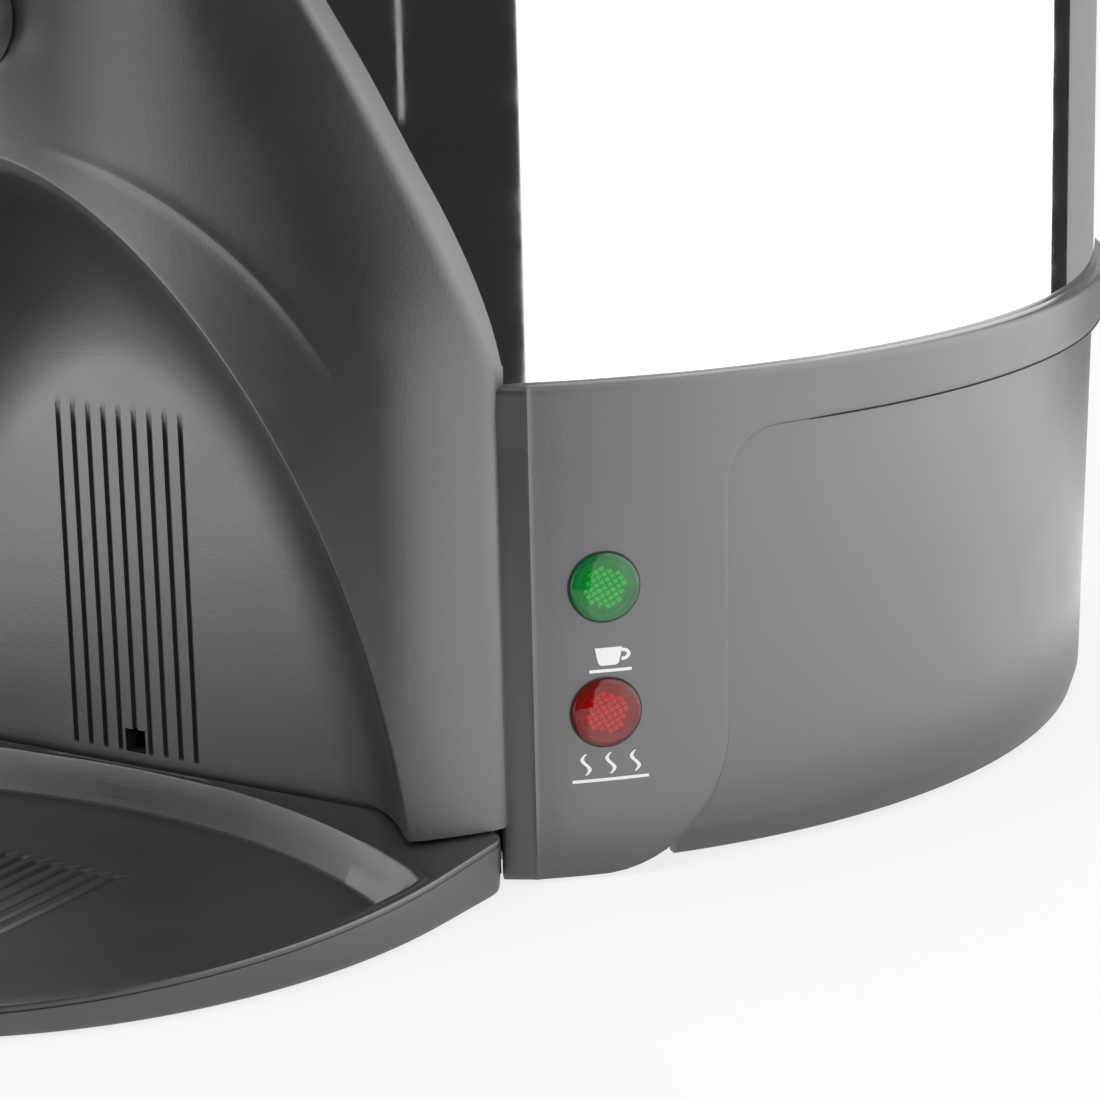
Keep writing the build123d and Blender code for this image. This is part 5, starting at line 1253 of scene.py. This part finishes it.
def tray_parts(sizes):
    """Drip tray: grooved floor, raised back rim, flat land and a lipped skirt."""
    half, depth = sizes.half_width / MM, sizes.depth / MM
    floor, rim = sizes.floor / MM, sizes.rim / MM
    pitch, count = sizes.groove_pitch / MM, sizes.groove_count
    mid_y, oval_y, back_y = -148.4, -116.0, -98.6
    wide, long = 21.6, 26.0

    def top(y):
        return rim + 0.05 * (y + 100.0)

    def oval(inset):
        line = [((half - inset) * cos(radians(t)), oval_y + (depth - inset) * sin(radians(t)))
                for t in range(-90, 1, 2)]
        corner = rounded([(half - inset, oval_y), (half - inset, back_y + inset),
                          (0, back_y + inset)], {1: 3.0}, closed=False)
        return line + corner[1:-1] + [((half - inset) * (1 - i / 40), back_y + inset)
                                      for i in range(3, 41)]

    def arc(centre_y, radius, start, end):
        return [(radius * sin(radians(t / 4)), centre_y + radius * cos(radians(t / 4)))
                for t in range(int(start * 4), int(end * 4) + 1)]
    centre = (0.0, mid_y)
    outer = ray_reader(oval(0.0), centre)
    skirt_in = ray_reader(oval(2.3), centre)
    skirt_floor = ray_reader(oval(3.6), centre)
    bead = ray_reader(arc(-246.6, 146.7, 0, 60), centre)
    foot = ray_reader(arc(-225.0, 125.0, 0, 70), centre)

    def reach(reader, angle, fallback):
        limit = fallback(angle)
        if angle < 5:
            return limit
        value = reader(angle)
        return min(value, limit) if value > 0 else limit
    corner = degrees(atan2(long, wide))
    angles = {0.0, 90.0, corner}
    edges = [k * pitch + d for k in range(count // 2 + 1) for d in (-0.85, -0.55, 0.55, 0.85)
             if k * pitch + d > 0]
    angles |= {degrees(atan2(long, x)) for x in edges}
    angles |= {float(a) for a in range(2, 50, 2)}
    angles |= {degrees(atan2(y, wide)) for y in (23.0, 23.6, 24.2, 24.8)}
    tip = degrees(atan2(back_y - mid_y, half))
    angles |= {tip + d for d in (-4.0, -3, -2.2, -1.5, -0.9, -0.4, 0.0, 0.4, 0.9, 1.5, 2.2, 3.0)}
    angles = sorted(a for a in angles if 0 <= a <= 90)
    angles = sorted({-a for a in angles} | set(angles))
    xs = [0.0] + sorted(long / tan(radians(a)) for a in angles if corner < a < 89.999) + [wide]
    ys = [mid_y + wide * tan(radians(a)) for a in angles if abs(a) < corner - 1e-9]
    ys = [mid_y - long] + ys + [mid_y + long]

    sheet = Sheet()

    def at(x, y, z):
        return sheet.point((x, y, z), (x, y, z))

    def groove(x, y):
        nearest = round(x / pitch)
        if nearest > count // 2 or abs(x - nearest * pitch) > 0.56:
            return 0.0
        ends = min(mid_y + 23.6 - y, y - (mid_y - 23.6))
        return 0.6 * smooth(ends / 1.2)
    patch = [[at(x, y, floor - groove(x, y)) for x in xs] for y in ys]
    sheet.grid(patch)
    rows, lowest = [], []
    for a in angles:
        u, v = cos(radians(a)), sin(radians(a))
        start = wide / u if abs(a) < corner else long / abs(v)
        s_foot = reach(foot, a, skirt_floor)
        s_bead = reach(bead, a, skirt_in)
        s_out = outer(a)
        back = smooth((s_out - s_bead - 2.0) / 1.5) if a > 5 else 0.0
        stations = [(start, floor), (start + 0.3 * (s_foot - start), floor),
                    (start + 0.8 * (s_foot - start), floor), (s_foot - 1.2, floor),
                    (s_foot - 0.5, floor + 0.12), (s_foot, floor + 0.5)]
        rise = top(mid_y + s_bead * v)
        bump = 0.3 * back
        wall = [(0.5, 0.5), (0.9, 0.93)]
        stations += [(s_foot + (s_bead - s_foot) * t, floor + 0.5 + (rise - floor - 0.5) * h)
                     for t, h in wall]
        stations += [(s_bead + 0.05, rise - 0.15 + bump), (s_bead + 0.3, rise + bump),
                     (s_bead + 0.7, rise + 0.08 * back + bump), (s_bead + 1.1, rise + bump),
                     (s_bead + 1.45, rise - 0.05 + 0.3 * bump)]
        land = s_bead + 1.6
        if land > s_out - 0.75:
            land = s_out - 0.75
            stations = [(min(s, land - 0.02 * (len(stations) - i)), z)
                        for i, (s, z) in enumerate(stations)]
        stations.append((land, top(mid_y + land * v)))
        edge_z = top(mid_y + s_out * v)
        stations += [(s_out - 0.45, edge_z), (s_out - 0.12, edge_z - 0.1), (s_out, edge_z - 0.35),
                     (s_out, edge_z - 0.75), (s_out - 0.28, edge_z - 0.9), (s_out - 0.28, edge_z - 1.1),
                     (s_out - 0.02, edge_z - 1.25), (s_out, edge_z - 1.6), (s_out - 0.1, 3.5),
                     (s_out - 0.25, 1.6), (s_out - 0.5, 0.9), (s_out - 1.0, 0.5)]
        row = []
        for i, (s, z) in enumerate(stations):
            x, y = s * u, mid_y + s * v
            if i == 0:
                x, y = min(x, wide), min(max(y, mid_y - long), mid_y + long)
            row.append(at(0.0 if abs(a) > 89.999 else x, y, z))
        rows.append(row)
        lowest.append(row[-1])
    sheet.grid(rows)
    hub = at(0.0, mid_y, 0.5)
    for a, b in zip(lowest, lowest[1:]):
        sheet.faces.append([a, b, hub])
    whole = sheet.mirrored()
    points, faces = whole.outer, whole.faces
    tongue = box_part((-40.0, 40.0), (back_y - 1.5, -86.0), (3.6, 6.6), 0.3)
    return [(points, faces), tongue]


class URN_OT_tray(bpy.types.Operator):
    """Build the drip tray that slides under the niche"""
    bl_idname = "urn.tray"
    bl_label = "Drip tray"

    def execute(self, context):
        make("drip_dish", tray_parts(context.scene.urn_tray), "satin_plastic", "tray",
             ["drip_tray"])
        return {"FINISHED"}


# ------------------------------------------------------------------ tap and gauge


def along_y(profile, z, steps=64):
    """Turned part about a line that runs towards the front: profile of (radius, -y)."""
    turn = Matrix.Translation((0, 0, z)) @ Matrix.Rotation(radians(90), 4, "X")
    return placed(lathe(profile, steps), turn)


class URN_OT_tap(bpy.types.Operator):
    """Build the chromed tap casting, its bonnet and the lever"""
    bl_idname = "urn.tap"
    bl_label = "Tap"

    def execute(self, context):
        z = 137.5
        flange = rounded([(0, 127.4), (9.6, 127.4), (9.6, 130.6), (8.4, 131.4), (7.8, 134.5),
                          (7.8, 160.0), (0, 160.0)], {2: 0.6, 3: 1.0, 4: 1.5}, closed=False)
        shank = rounded([(4.5, 101.0), (8.0, 101.0), (8.0, 128.0), (4.5, 128.0)], {1: 0.5, 2: 0.3})
        boss = rounded([(0, 129.2), (6.0, 128.5), (9.0, 130.5), (9.0, 152.0), (7.0, 152.0),
                        (7.0, 148.0), (5.2, 148.0), (5.2, 144.0), (3.6, 144.0), (3.6, 140.0),
                        (0, 140.0)], {1: 2.0, 2: 1.5, 3: 0.5}, closed=False)
        barrel = rounded([(5.0, 106.0), (8.0, 106.0), (8.0, 110.6), (11.0, 117.5), (11.0, 157.98),
                          (8.2, 157.98), (8.2, 128.0), (5.0, 128.0)],
                         {1: 0.7, 2: 3.0, 3: 3.0, 4: 0.4})
        bead = rounded([(10.6, 119.6), (11.5, 119.6), (11.5, 121.0), (10.6, 121.0)], 0.35)
        parts = [along_y(flange, z), along_y(shank, z), lathe(boss, 64, (0, GAUGE_Y)),
                 lathe(barrel, 72, (0, TAP_Y)), lathe(bead, 72, (0, TAP_Y))]
        make("tap_casting", parts, "chrome", "urn", ["tap_body"], sharp=40.0)
        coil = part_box("tap_spring")[1].x / MM + 0.25
        cap = rounded([(coil, 152.0), (8.1, 152.0), (8.1, 158.0), (12.5, 158.0), (12.5, 168.0),
                       (2.7, 168.0), (2.7, 164.0), (coil, 164.0)], {3: 0.4, 4: 1.5})
        make("bonnet_cap", [lathe(cap, 72, (0, TAP_Y))], "phenolic", "urn",
             ["tap_bonnet"])
        grow("bonnet_ribs", rib_tree(),
             {"Count": 28, "Radius": 12.3 * MM, "Low": 159.2 * MM, "High": 165.6 * MM,
              "Width": 1.3 * MM, "Depth": 0.4 * MM, "Centre Y": TAP_Y * MM},
             "phenolic", "urn")
        make("lever_paddle", lever_parts(), "phenolic", "lever", ["tap_lever"])
        return {"FINISHED"}


def lever_parts():
    """Forked lever: two cheeks round the stem and a paddle that swells at its top."""
    pivot, top = 175.5, 228.0
    paddle = rounded([(5.2, pivot + 9.2), (4.6, pivot + 26.2), (6.0, top), (-7.0, top),
                      (-5.6, pivot + 26.2), (-9.9, pivot + 9.2)],
                     {1: 20.0, 2: 5.0, 3: 5.0, 4: 20.0})
    loops = []
    for x, inset in ((-7.0, 0.9), (-6.7, 0.35), (-6.0, 0.0), (6.0, 0.0), (6.7, 0.35), (7.0, 0.9)):
        middle = (-0.6, pivot + 30)
        loop = []
        for y, z in paddle:
            gap = hypot(y - middle[0], z - middle[1])
            share = 1 - inset / gap
            loop.append((x, TAP_Y + middle[0] + (y - middle[0]) * share,
                         middle[1] + (z - middle[1]) * share))
        loops.append(loop)
    parts = [loft(loops)]
    hub, cam, offset = 5.9, 7.1, 7.0
    meet = (cam ** 2 - hub ** 2 - offset ** 2) / (2 * offset)
    cheek = [(5.0, pivot + 12), (-9.0, pivot + 12)]
    for a in spaced(150.0, 360 - degrees(acos((meet + offset) / cam)), 24, 1.0):
        cheek.append((-offset + cam * cos(radians(a)), pivot + cam * sin(radians(a))))
    for a in spaced(360 - degrees(acos(meet / hub)), 360.0, 14, 1.0)[1:]:
        cheek.append((hub * cos(radians(a)), pivot + hub * sin(radians(a))))
    for x0, x1 in ((-6.95, -3.0), (3.0, 6.95)):
        section = []
        for x, inset in ((x0, 0.3), (x0 + 0.4, 0.0), (x1 - 0.4, 0.0), (x1, 0.3)):
            section.append([(x, TAP_Y + y - 0.07 * inset * y, z + inset * (0.6 if z < pivot else -0.6))
                            for y, z in cheek])
        parts.append(loft(section))
    return parts


class URN_OT_gauge(bpy.types.Operator):
    """Build the level glass, its nut and head, and the printed scale"""
    bl_idname = "urn.gauge"
    bl_label = "Level gauge"

    def execute(self, context):
        low, high = (c.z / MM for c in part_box("gauge_glass"))
        glass = rounded([(3.6, low), (5.0, low), (5.0, high), (3.6, high)], 0.3)
        make("level_glass", [lathe(glass, 64, (0, GAUGE_Y))], "gauge_glass", "urn",
             ["gauge_glass"])
        nut = rounded([(5.2, 152.1), (9.3, 152.1), (9.3, 161.0), (7.0, 164.1), (5.2, 164.1)],
                      {1: 0.5, 2: 1.0, 3: 0.6})
        make("gauge_cap_nut", [lathe(nut, 64, (0, GAUGE_Y))], "phenolic", "urn",
             ["gauge_nut"])
        grow("gauge_nut_ribs", rib_tree(),
             {"Count": 22, "Radius": 9.15 * MM, "Low": 153.0 * MM, "High": 159.8 * MM,
              "Width": 1.2 * MM, "Depth": 0.7 * MM, "Centre Y": GAUGE_Y * MM},
             "phenolic", "urn")
        make("gauge_head", [gauge_head()], "phenolic", "urn", ["gauge_bracket"])
        x0, x1 = 7.5, 21.5
        z0, z1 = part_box("level_scale")[0].z / MM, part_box("level_scale")[1].z / MM
        plan = rounded([(x0, z0), (x1, z0), (x1, z1), (x0, z1)], 2.0)
        strip = []
        for r in (127.21, 127.4, 127.5):
            inset = 0.15 if r == 127.5 else 0.0
            strip.append([(x + (inset if x < 14.5 else -inset),
                           -sqrt(r ** 2 - x ** 2), z) for x, z in dense(plan, 1.5)])
        make("scale_strip", [loft(strip)], "label", "urn", ["level_scale"])
        grow("scale_ticks", tick_tree(),
             {"Low": (z0 + 8) * MM, "High": (z1 - 8) * MM, "Left": 9.2 * MM, "Long": 8.0 * MM,
              "Short": 4.0 * MM, "Weight": 0.5 * MM, "Radius": 127.36 * MM},
             "label_ink", "urn")
        return {"FINISHED"}


def gauge_head():
    """Rounded head that holds the glass against the column."""
    half, back = 11.0, 125.9
    loops = []
    for inset, z in ((1.2, 310.0), (0.35, 310.3), (0.0, 311.0), (0.0, 326.4), (0.5, 327.5),
                     (1.6, 328.0)):
        r = half - inset
        front = [(r * sin(radians(a)), GAUGE_Y - r * cos(radians(a))) for a in range(-90, 91, 6)]
        plan = front + [(r, -back), (-r, -back)]
        loops.append([(x, y, z) for x, y in plan])
    return loft(loops)


# ------------------------------------------------------------------ handles


class URN_OT_handles(bpy.types.Operator):
    """Build the two side handles with their round seats"""
    bl_idname = "urn.handles"
    bl_label = "Handles"

    def execute(self, context):
        for name, node, middle in (("handle_grip_right", "handle_right", 90.0),
                                   ("handle_grip_left", "handle_left", -90.0)):
            make(name, handle_parts(middle), "phenolic", "urn", [node])
        return {"FINISHED"}


def handle_parts(middle):
    ends = [polar(r, middle + turn) for r, turn in ((117.0, -15), (160.0, -15), (160.0, 15),
                                                    (117.0, 15))]
    bend = rounded(ends, {1: 14.0, 2: 14.0}, closed=False, turn=6.0)
    path = dense(bend, 4.0, closed=False)
    section = rounded([(-7, -9), (7, -9), (7, 9), (-7, 9)], 5.0, turn=12.0)
    loops = []
    for i, (x, y) in enumerate(path):
        a, b = path[max(i - 1, 0)], path[min(i + 1, len(path) - 1)]
        run = Vector((b[0] - a[0], b[1] - a[1])).normalized()
        side = Vector((run.y, -run.x))
        loops.append([(x + side.x * u, y + side.y * u, HANDLE_Z + w) for u, w in section])
    parts = [loft(loops)]
    pad = rounded([(0, 117.0), (13.0, 117.0), (13.0, 124.4), (11.2, 126.0), (0, 126.0)],
                  {2: 1.0, 3: 1.2}, closed=False)
    for turn in (-15, 15):
        disc = lathe(pad, 56)
        parts.append(placed(disc, outward(middle + turn, 0.0, HANDLE_Z)))
    return parts


# ------------------------------------------------------------------ lamps and marks


class URN_OT_lamps(bpy.types.Operator):
    """Build the two pilot lamps and the small plain marks under them"""
    bl_idname = "urn.lamps"
    bl_label = "Pilot lamps"

    def execute(self, context):
        sizes = context.scene.urn_lamps
        azimuth = degrees(sizes.azimuth)
        r, proud = sizes.radius / MM, sizes.proud / MM
        for name, node, level, tint in (("upper", "lamp_lens_upper", sizes.upper / MM, "green"),
                                        ("lower", "lamp_lens_lower", sizes.lower / MM, "red")):
            seat = wing_radius(level) + 0.05
            place = outward(azimuth, seat, level)
            dome = dome_line(r - 0.35, proud, 0.75)
            hollow = dome_line(r - 1.0, proud - 0.75, 0.35)
            shell = dome + [(r, proud - 1.1), (r, -0.4), (r - 1.0, -0.4)] + hollow[::-1]
            make(f"lens_cap_{name}", [placed(lathe(shell, 72), place)], f"{tint}_lens", "urn",
                 [node])
            # the core's dark finish is painted shade for the recessed ring round the optic
            core = [(0, -3.0), (r - 1.05, -3.0), (r - 1.05, 0.25), (r - 1.45, 0.35), (r - 1.6, 0.1),
                    (r - 1.7, -1.2), (3.6, -1.2), (3.5, -0.1), (3.4, 0.0), (0, 0.0)]
            # dark ring round each lens, flush with the wing: painted shade for the shadow in the lens's
            # seat, given the rubber finish only for its dark colour
            seat_shade_ring = [(r - 0.3, -0.4), (r + 0.3, -0.4), (r + 0.3, 0.02), (r + 0.05, 0.1),
                         (r - 0.3, 0.1)]
            make(f"lens_gap_{name}", [placed(lathe(seat_shade_ring, 72), place)], "rubber", "urn")
            make(f"lens_core_{name}", [placed(lathe(core, 64), place)], f"{tint}_core", "urn")
            grow(f"lens_prisms_{name}", prism_tree(),
                 {"Field": 3.15 * MM, "Pitch": sizes.prism, "Rise": 0.75 * MM, "Turn": radians(28),
                  "Azimuth": sizes.azimuth, "Reach": (seat + 0.35) * MM, "Height": level * MM},
                 f"{tint}_optic", "urn", sharp=10.0)
        make("lamp_marks", mark_parts(azimuth), "white_print", "urn")
        return {"FINISHED"}


def dome_line(reach, top, sag):
    """Half section of a shallow dome, from its middle to its edge."""
    return [(reach * sin(radians(a)) / sin(radians(50)),
             top - sag * (1 - cos(radians(a))) / (1 - cos(radians(50)))) for a in range(0, 51, 5)]


def on_wing(outline, azimuth, level, lift=0.05):
    """Thin printed patch on the wing from an outline in millimetres about its centre."""
    loops = []
    for rise in (-0.25, lift):
        loop = []
        for x, z in dense(outline, 0.8):
            r = wing_radius(level + z) + rise
            px, py = polar(r, azimuth + degrees(x / r))
            loop.append((px, py, level + z))
        loops.append(loop)
    return loft(loops)


def bar_on_wing(half, height, azimuth, level):
    """Printed level line, in short lengths so that it follows the curve."""
    count = ceil(half)
    step = 2 * half / count
    return [on_wing([(x, height - 0.25), (x + step, height - 0.25), (x + step, height + 0.25),
                     (x, height + 0.25)], azimuth, level)
            for x in (-half + step * i for i in range(count))]


def mark_parts(azimuth):
    """A cup over a plain bar by the upper lamp, and three rising waves by the lower one."""
    parts = []
    cup = rounded([(-2.5, 1.9), (-1.9, -1.0), (1.3, -1.0), (1.9, 1.9)], {1: 0.8, 2: 0.8})
    parts.append(on_wing(cup, azimuth + 0.4, 36.3))
    ring = [(1.9 + 1.35 * cos(radians(a)), 0.65 + 1.0 * sin(radians(a))) for a in range(-96, 97, 16)]
    ring += [(1.9 + 0.75 * cos(radians(a)), 0.65 + 0.45 * sin(radians(a)))
             for a in range(96, -97, -16)]
    parts.append(on_wing(ring, azimuth + 0.4, 36.3))
    parts += bar_on_wing(3.4, -1.85, azimuth + 0.4, 36.3)
    for shift in (-4.0, 0.0, 4.0):
        left, right = [], []
        for i in range(17):
            t = i / 16
            x = shift + 0.6 * sin(2 * pi * t)
            weight = 0.34 * sin(pi * min(max(t, 0.08), 0.92)) ** 0.4
            left.append((x - weight, -1.2 + 3.5 * t))
            right.append((x + weight, -1.2 + 3.5 * t))
        parts.append(on_wing(right + left[::-1], azimuth + 0.3, 18.7))
    parts += bar_on_wing(6.2, -2.15, azimuth + 0.3, 18.7)
    return parts


# ------------------------------------------------------------------ kept nodes


class URN_OT_insides(bpy.types.Operator):
    """Give the frame's own pieces their finishes"""
    bl_idname = "urn.insides"
    bl_label = "Frame's own pieces"

    def execute(self, context):
        for name, members in KEPT_NODES.items():
            for node in members:
                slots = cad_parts[node].data.materials
                slots.clear()
                slots.append(painted(name))
        return {"FINISHED"}


# ------------------------------------------------------------------ stage


LOW_CARDS, CARD_GAP = 0.07, 0.003      # top of the low cards; streak before the dark card
FLOOR_GLOW = 0.8           # share of the floor's brightness that is its own


class URN_OT_stage(bpy.types.Operator):
    """Set up the floor, the soft lights, the reflected cards and the camera"""
    bl_idname = "urn.stage"
    bl_label = "Stage"

    def execute(self, context):
        scene, stage = context.scene, context.scene.urn_stage
        scene.view_settings.view_transform = "Standard"
        stage_floor(3.0)
        right, left, top = stage.right_light, stage.left_light, stage.height
        for name, span, heights, strength in (
                ("left_side", (-125.0, -48.0), (0.0, top), 0.9 * left),
                ("left_flag", (-48.0, -17.0), (LOW_CARDS, top), 0.0),
                ("left_panel", (-17.0, -0.5), (LOW_CARDS, top), left),
                ("left_low", (-48.0, -0.5), (0.0, LOW_CARDS), 1.2 * left),
                ("dark_flag", (-0.5, 43.8), (0.0, top), 0.0),
                ("right_start", (43.8, 62.0), (0.0, top), 0.55 * right),
                ("right_middle", (62.0, 84.0), (0.0, top), 0.8 * right),
                ("right_panel", (84.0, 140.1), (0.0, top), right),
                ("dark_edge", (140.1, 147.9), (0.0, top), 0.0),
                ("grey_edge", (147.9, 172.0), (0.0, top), 0.36)):
            stage_panel(name, span, heights, (stage.reach, stage.reach), strength)
        near = stage.reach - CARD_GAP
        stage_panel("streak", (28.9, 29.6), (0.098, top), (near, near), 0.35)
        stage_panel("low_card", (42.0, 152.0), (0.001, 0.001), (0.138, near), 2.0)
        soft_light("front_lamp", (-0.5, -1.1, 1.1), (0, -0.05, 0.15), 0.9, stage.lamp)
        scene.world = world_light()
        lens = bpy.data.cameras.new("camera")
        lens.lens, lens.shift_x, lens.shift_y = 112.09, -0.1104, -0.0681
        lens.clip_start, lens.clip_end = 0.01, 20.0
        camera = bpy.data.objects.new("camera", lens)
        camera.matrix_world = (
            Matrix.Translation(stage.camera_place) @ Matrix.Rotation(stage.heading, 4, "Z")
            @ Matrix.Rotation(radians(90) - stage.pitch, 4, "X")
            @ Matrix.Rotation(stage.roll, 4, "Z"))
        scene.collection.objects.link(camera)
        scene.camera = camera
        return {"FINISHED"}


def stage_floor(half):
    mesh = bpy.data.meshes.new("floor")
    mesh.from_pydata([(-half, -half, 0), (half, -half, 0), (half, half, 0), (-half, half, 0)],
                     [], [(0, 1, 2, 3)])
    mesh.materials.append(floor_paint())
    floor = bpy.data.objects.new("floor", mesh)
    bpy.context.scene.collection.objects.link(floor)
    return floor


def stage_panel(name, span, heights, reaches, strength):
    """Curved panel that shows in reflections only, from a low and near to a high and far edge."""
    first, last = span
    steps = max(2, ceil((last - first) / 3))
    points = [(*polar(reach, first + (last - first) * i / steps), z)
              for i in range(steps + 1) for reach, z in zip(reaches, heights)]
    faces = [(2 * i, 2 * i + 2, 2 * i + 3, 2 * i + 1) for i in range(steps)]
    mesh = bpy.data.meshes.new(name)
    mesh.from_pydata(points, [], faces)
    panel = bpy.data.objects.new(name, mesh)
    paint = bpy.data.materials.new(name)
    paint.use_nodes = True
    shader = paint.node_tree.nodes["Principled BSDF"]
    shader.inputs["Base Color"].default_value = (0.004, 0.004, 0.004, 1)
    shader.inputs["Roughness"].default_value = 0.9
    shader.inputs["Emission Color"].default_value = (1, 1, 1, 1)
    shader.inputs["Emission Strength"].default_value = strength
    mesh.materials.append(paint)
    panel.visible_camera = False
    panel.visible_shadow = False
    panel.visible_transmission = False
    panel.visible_diffuse = False
    bpy.context.scene.collection.objects.link(panel)
    return panel


def soft_light(name, place, target, extent, power):
    data = bpy.data.lights.new(name, "AREA")
    data.shape, data.size, data.energy = "DISK", extent, power
    lamp = bpy.data.objects.new(name, data)
    lamp.location = place
    lamp.rotation_euler = (Vector(target) - Vector(place)).to_track_quat("-Z", "Y").to_euler()
    lamp.visible_glossy = False
    bpy.context.scene.collection.objects.link(lamp)


def seen_directly(nodes):
    """1 for rays from the camera and for what shows in metal and glass."""
    path = nodes.add("ShaderNodeLightPath").outputs
    clear = nodes.math("MAXIMUM", path["Is Glossy Ray"], path["Is Transmission Ray"])
    return nodes.math("MAXIMUM", path["Is Camera Ray"], clear)


def floor_paint():
    """Pale floor that keeps the urn's shadow and still looks nearly white."""
    paint = bpy.data.materials.new("pale_floor")
    paint.use_nodes = True
    nodes = Nodes(paint.node_tree)
    shader = paint.node_tree.nodes["Principled BSDF"]
    shader.inputs["Base Color"].default_value = (0.88, 0.88, 0.88, 1)
    shader.inputs["Roughness"].default_value = 0.6
    shader.inputs["Specular IOR Level"].default_value = 0.2
    glow = nodes.add("ShaderNodeEmission", Color=(1, 1, 1, 1), Strength=1.0)
    mixed = nodes.add("ShaderNodeMixShader")
    nodes.feed(mixed, "i0", nodes.math("MULTIPLY", seen_directly(nodes), FLOOR_GLOW))
    nodes.feed(mixed, "i1", shader.outputs[0])
    nodes.feed(mixed, "i2", glow.outputs[0])
    nodes.feed(paint.node_tree.nodes["Material Output"], "Surface", mixed.outputs[0])
    return paint


def world_light():
    """Plain white light, a little stronger where it is seen directly."""
    world = bpy.data.worlds.new("studio")
    world.use_nodes = True
    nodes = Nodes(world.node_tree)
    back = world.node_tree.nodes["Background"]
    seen = seen_directly(nodes)
    back.inputs["Color"].default_value = (1, 1, 1, 1)
    nodes.feed(back, "Strength", nodes.math("MULTIPLY_ADD", seen, 0.05, 0.95))
    return world


# ------------------------------------------------------------------ panel and run


class URN_PT_panel(bpy.types.Panel):
    """Lists the urn's pieces and their sizes"""
    bl_label = "Coffee urn"
    bl_idname = "URN_PT_panel"
    bl_space_type = "VIEW_3D"
    bl_region_type = "UI"
    bl_category = "Urn"

    def draw(self, context):
        for operator in OPERATORS:
            self.layout.operator(operator.bl_idname)
        for key in SETTINGS:
            box = self.layout.box()
            settings = getattr(context.scene, key)
            for name in settings.__annotations__:
                box.prop(settings, name)


SETTINGS = {"urn_base": UrnBaseSizes, "urn_tower": UrnTowerSizes, "urn_tray": UrnTraySizes,
            "urn_lamps": UrnLampSizes, "urn_colours": UrnColours, "urn_stage": UrnStage}
OPERATORS = (URN_OT_drum, URN_OT_base, URN_OT_tower, URN_OT_tray, URN_OT_tap, URN_OT_gauge,
             URN_OT_handles, URN_OT_lamps, URN_OT_insides, URN_OT_stage)


def register():
    for cls in (*SETTINGS.values(), *OPERATORS, URN_PT_panel):
        bpy.utils.register_class(cls)
    for key, cls in SETTINGS.items():
        setattr(bpy.types.Scene, key, PointerProperty(type=cls))


def unregister():
    for key in SETTINGS:
        delattr(bpy.types.Scene, key)
    for cls in (URN_PT_panel, *reversed(OPERATORS), *SETTINGS.values()):
        bpy.utils.unregister_class(cls)


def main():
    register()
    bpy.ops.urn.drum()
    bpy.ops.urn.base()
    bpy.ops.urn.tower()
    bpy.ops.urn.tray()
    bpy.ops.urn.tap()
    bpy.ops.urn.gauge()
    bpy.ops.urn.handles()
    bpy.ops.urn.lamps()
    bpy.ops.urn.insides()
    bpy.ops.urn.stage()


if __name__ == "__main__":
    main()
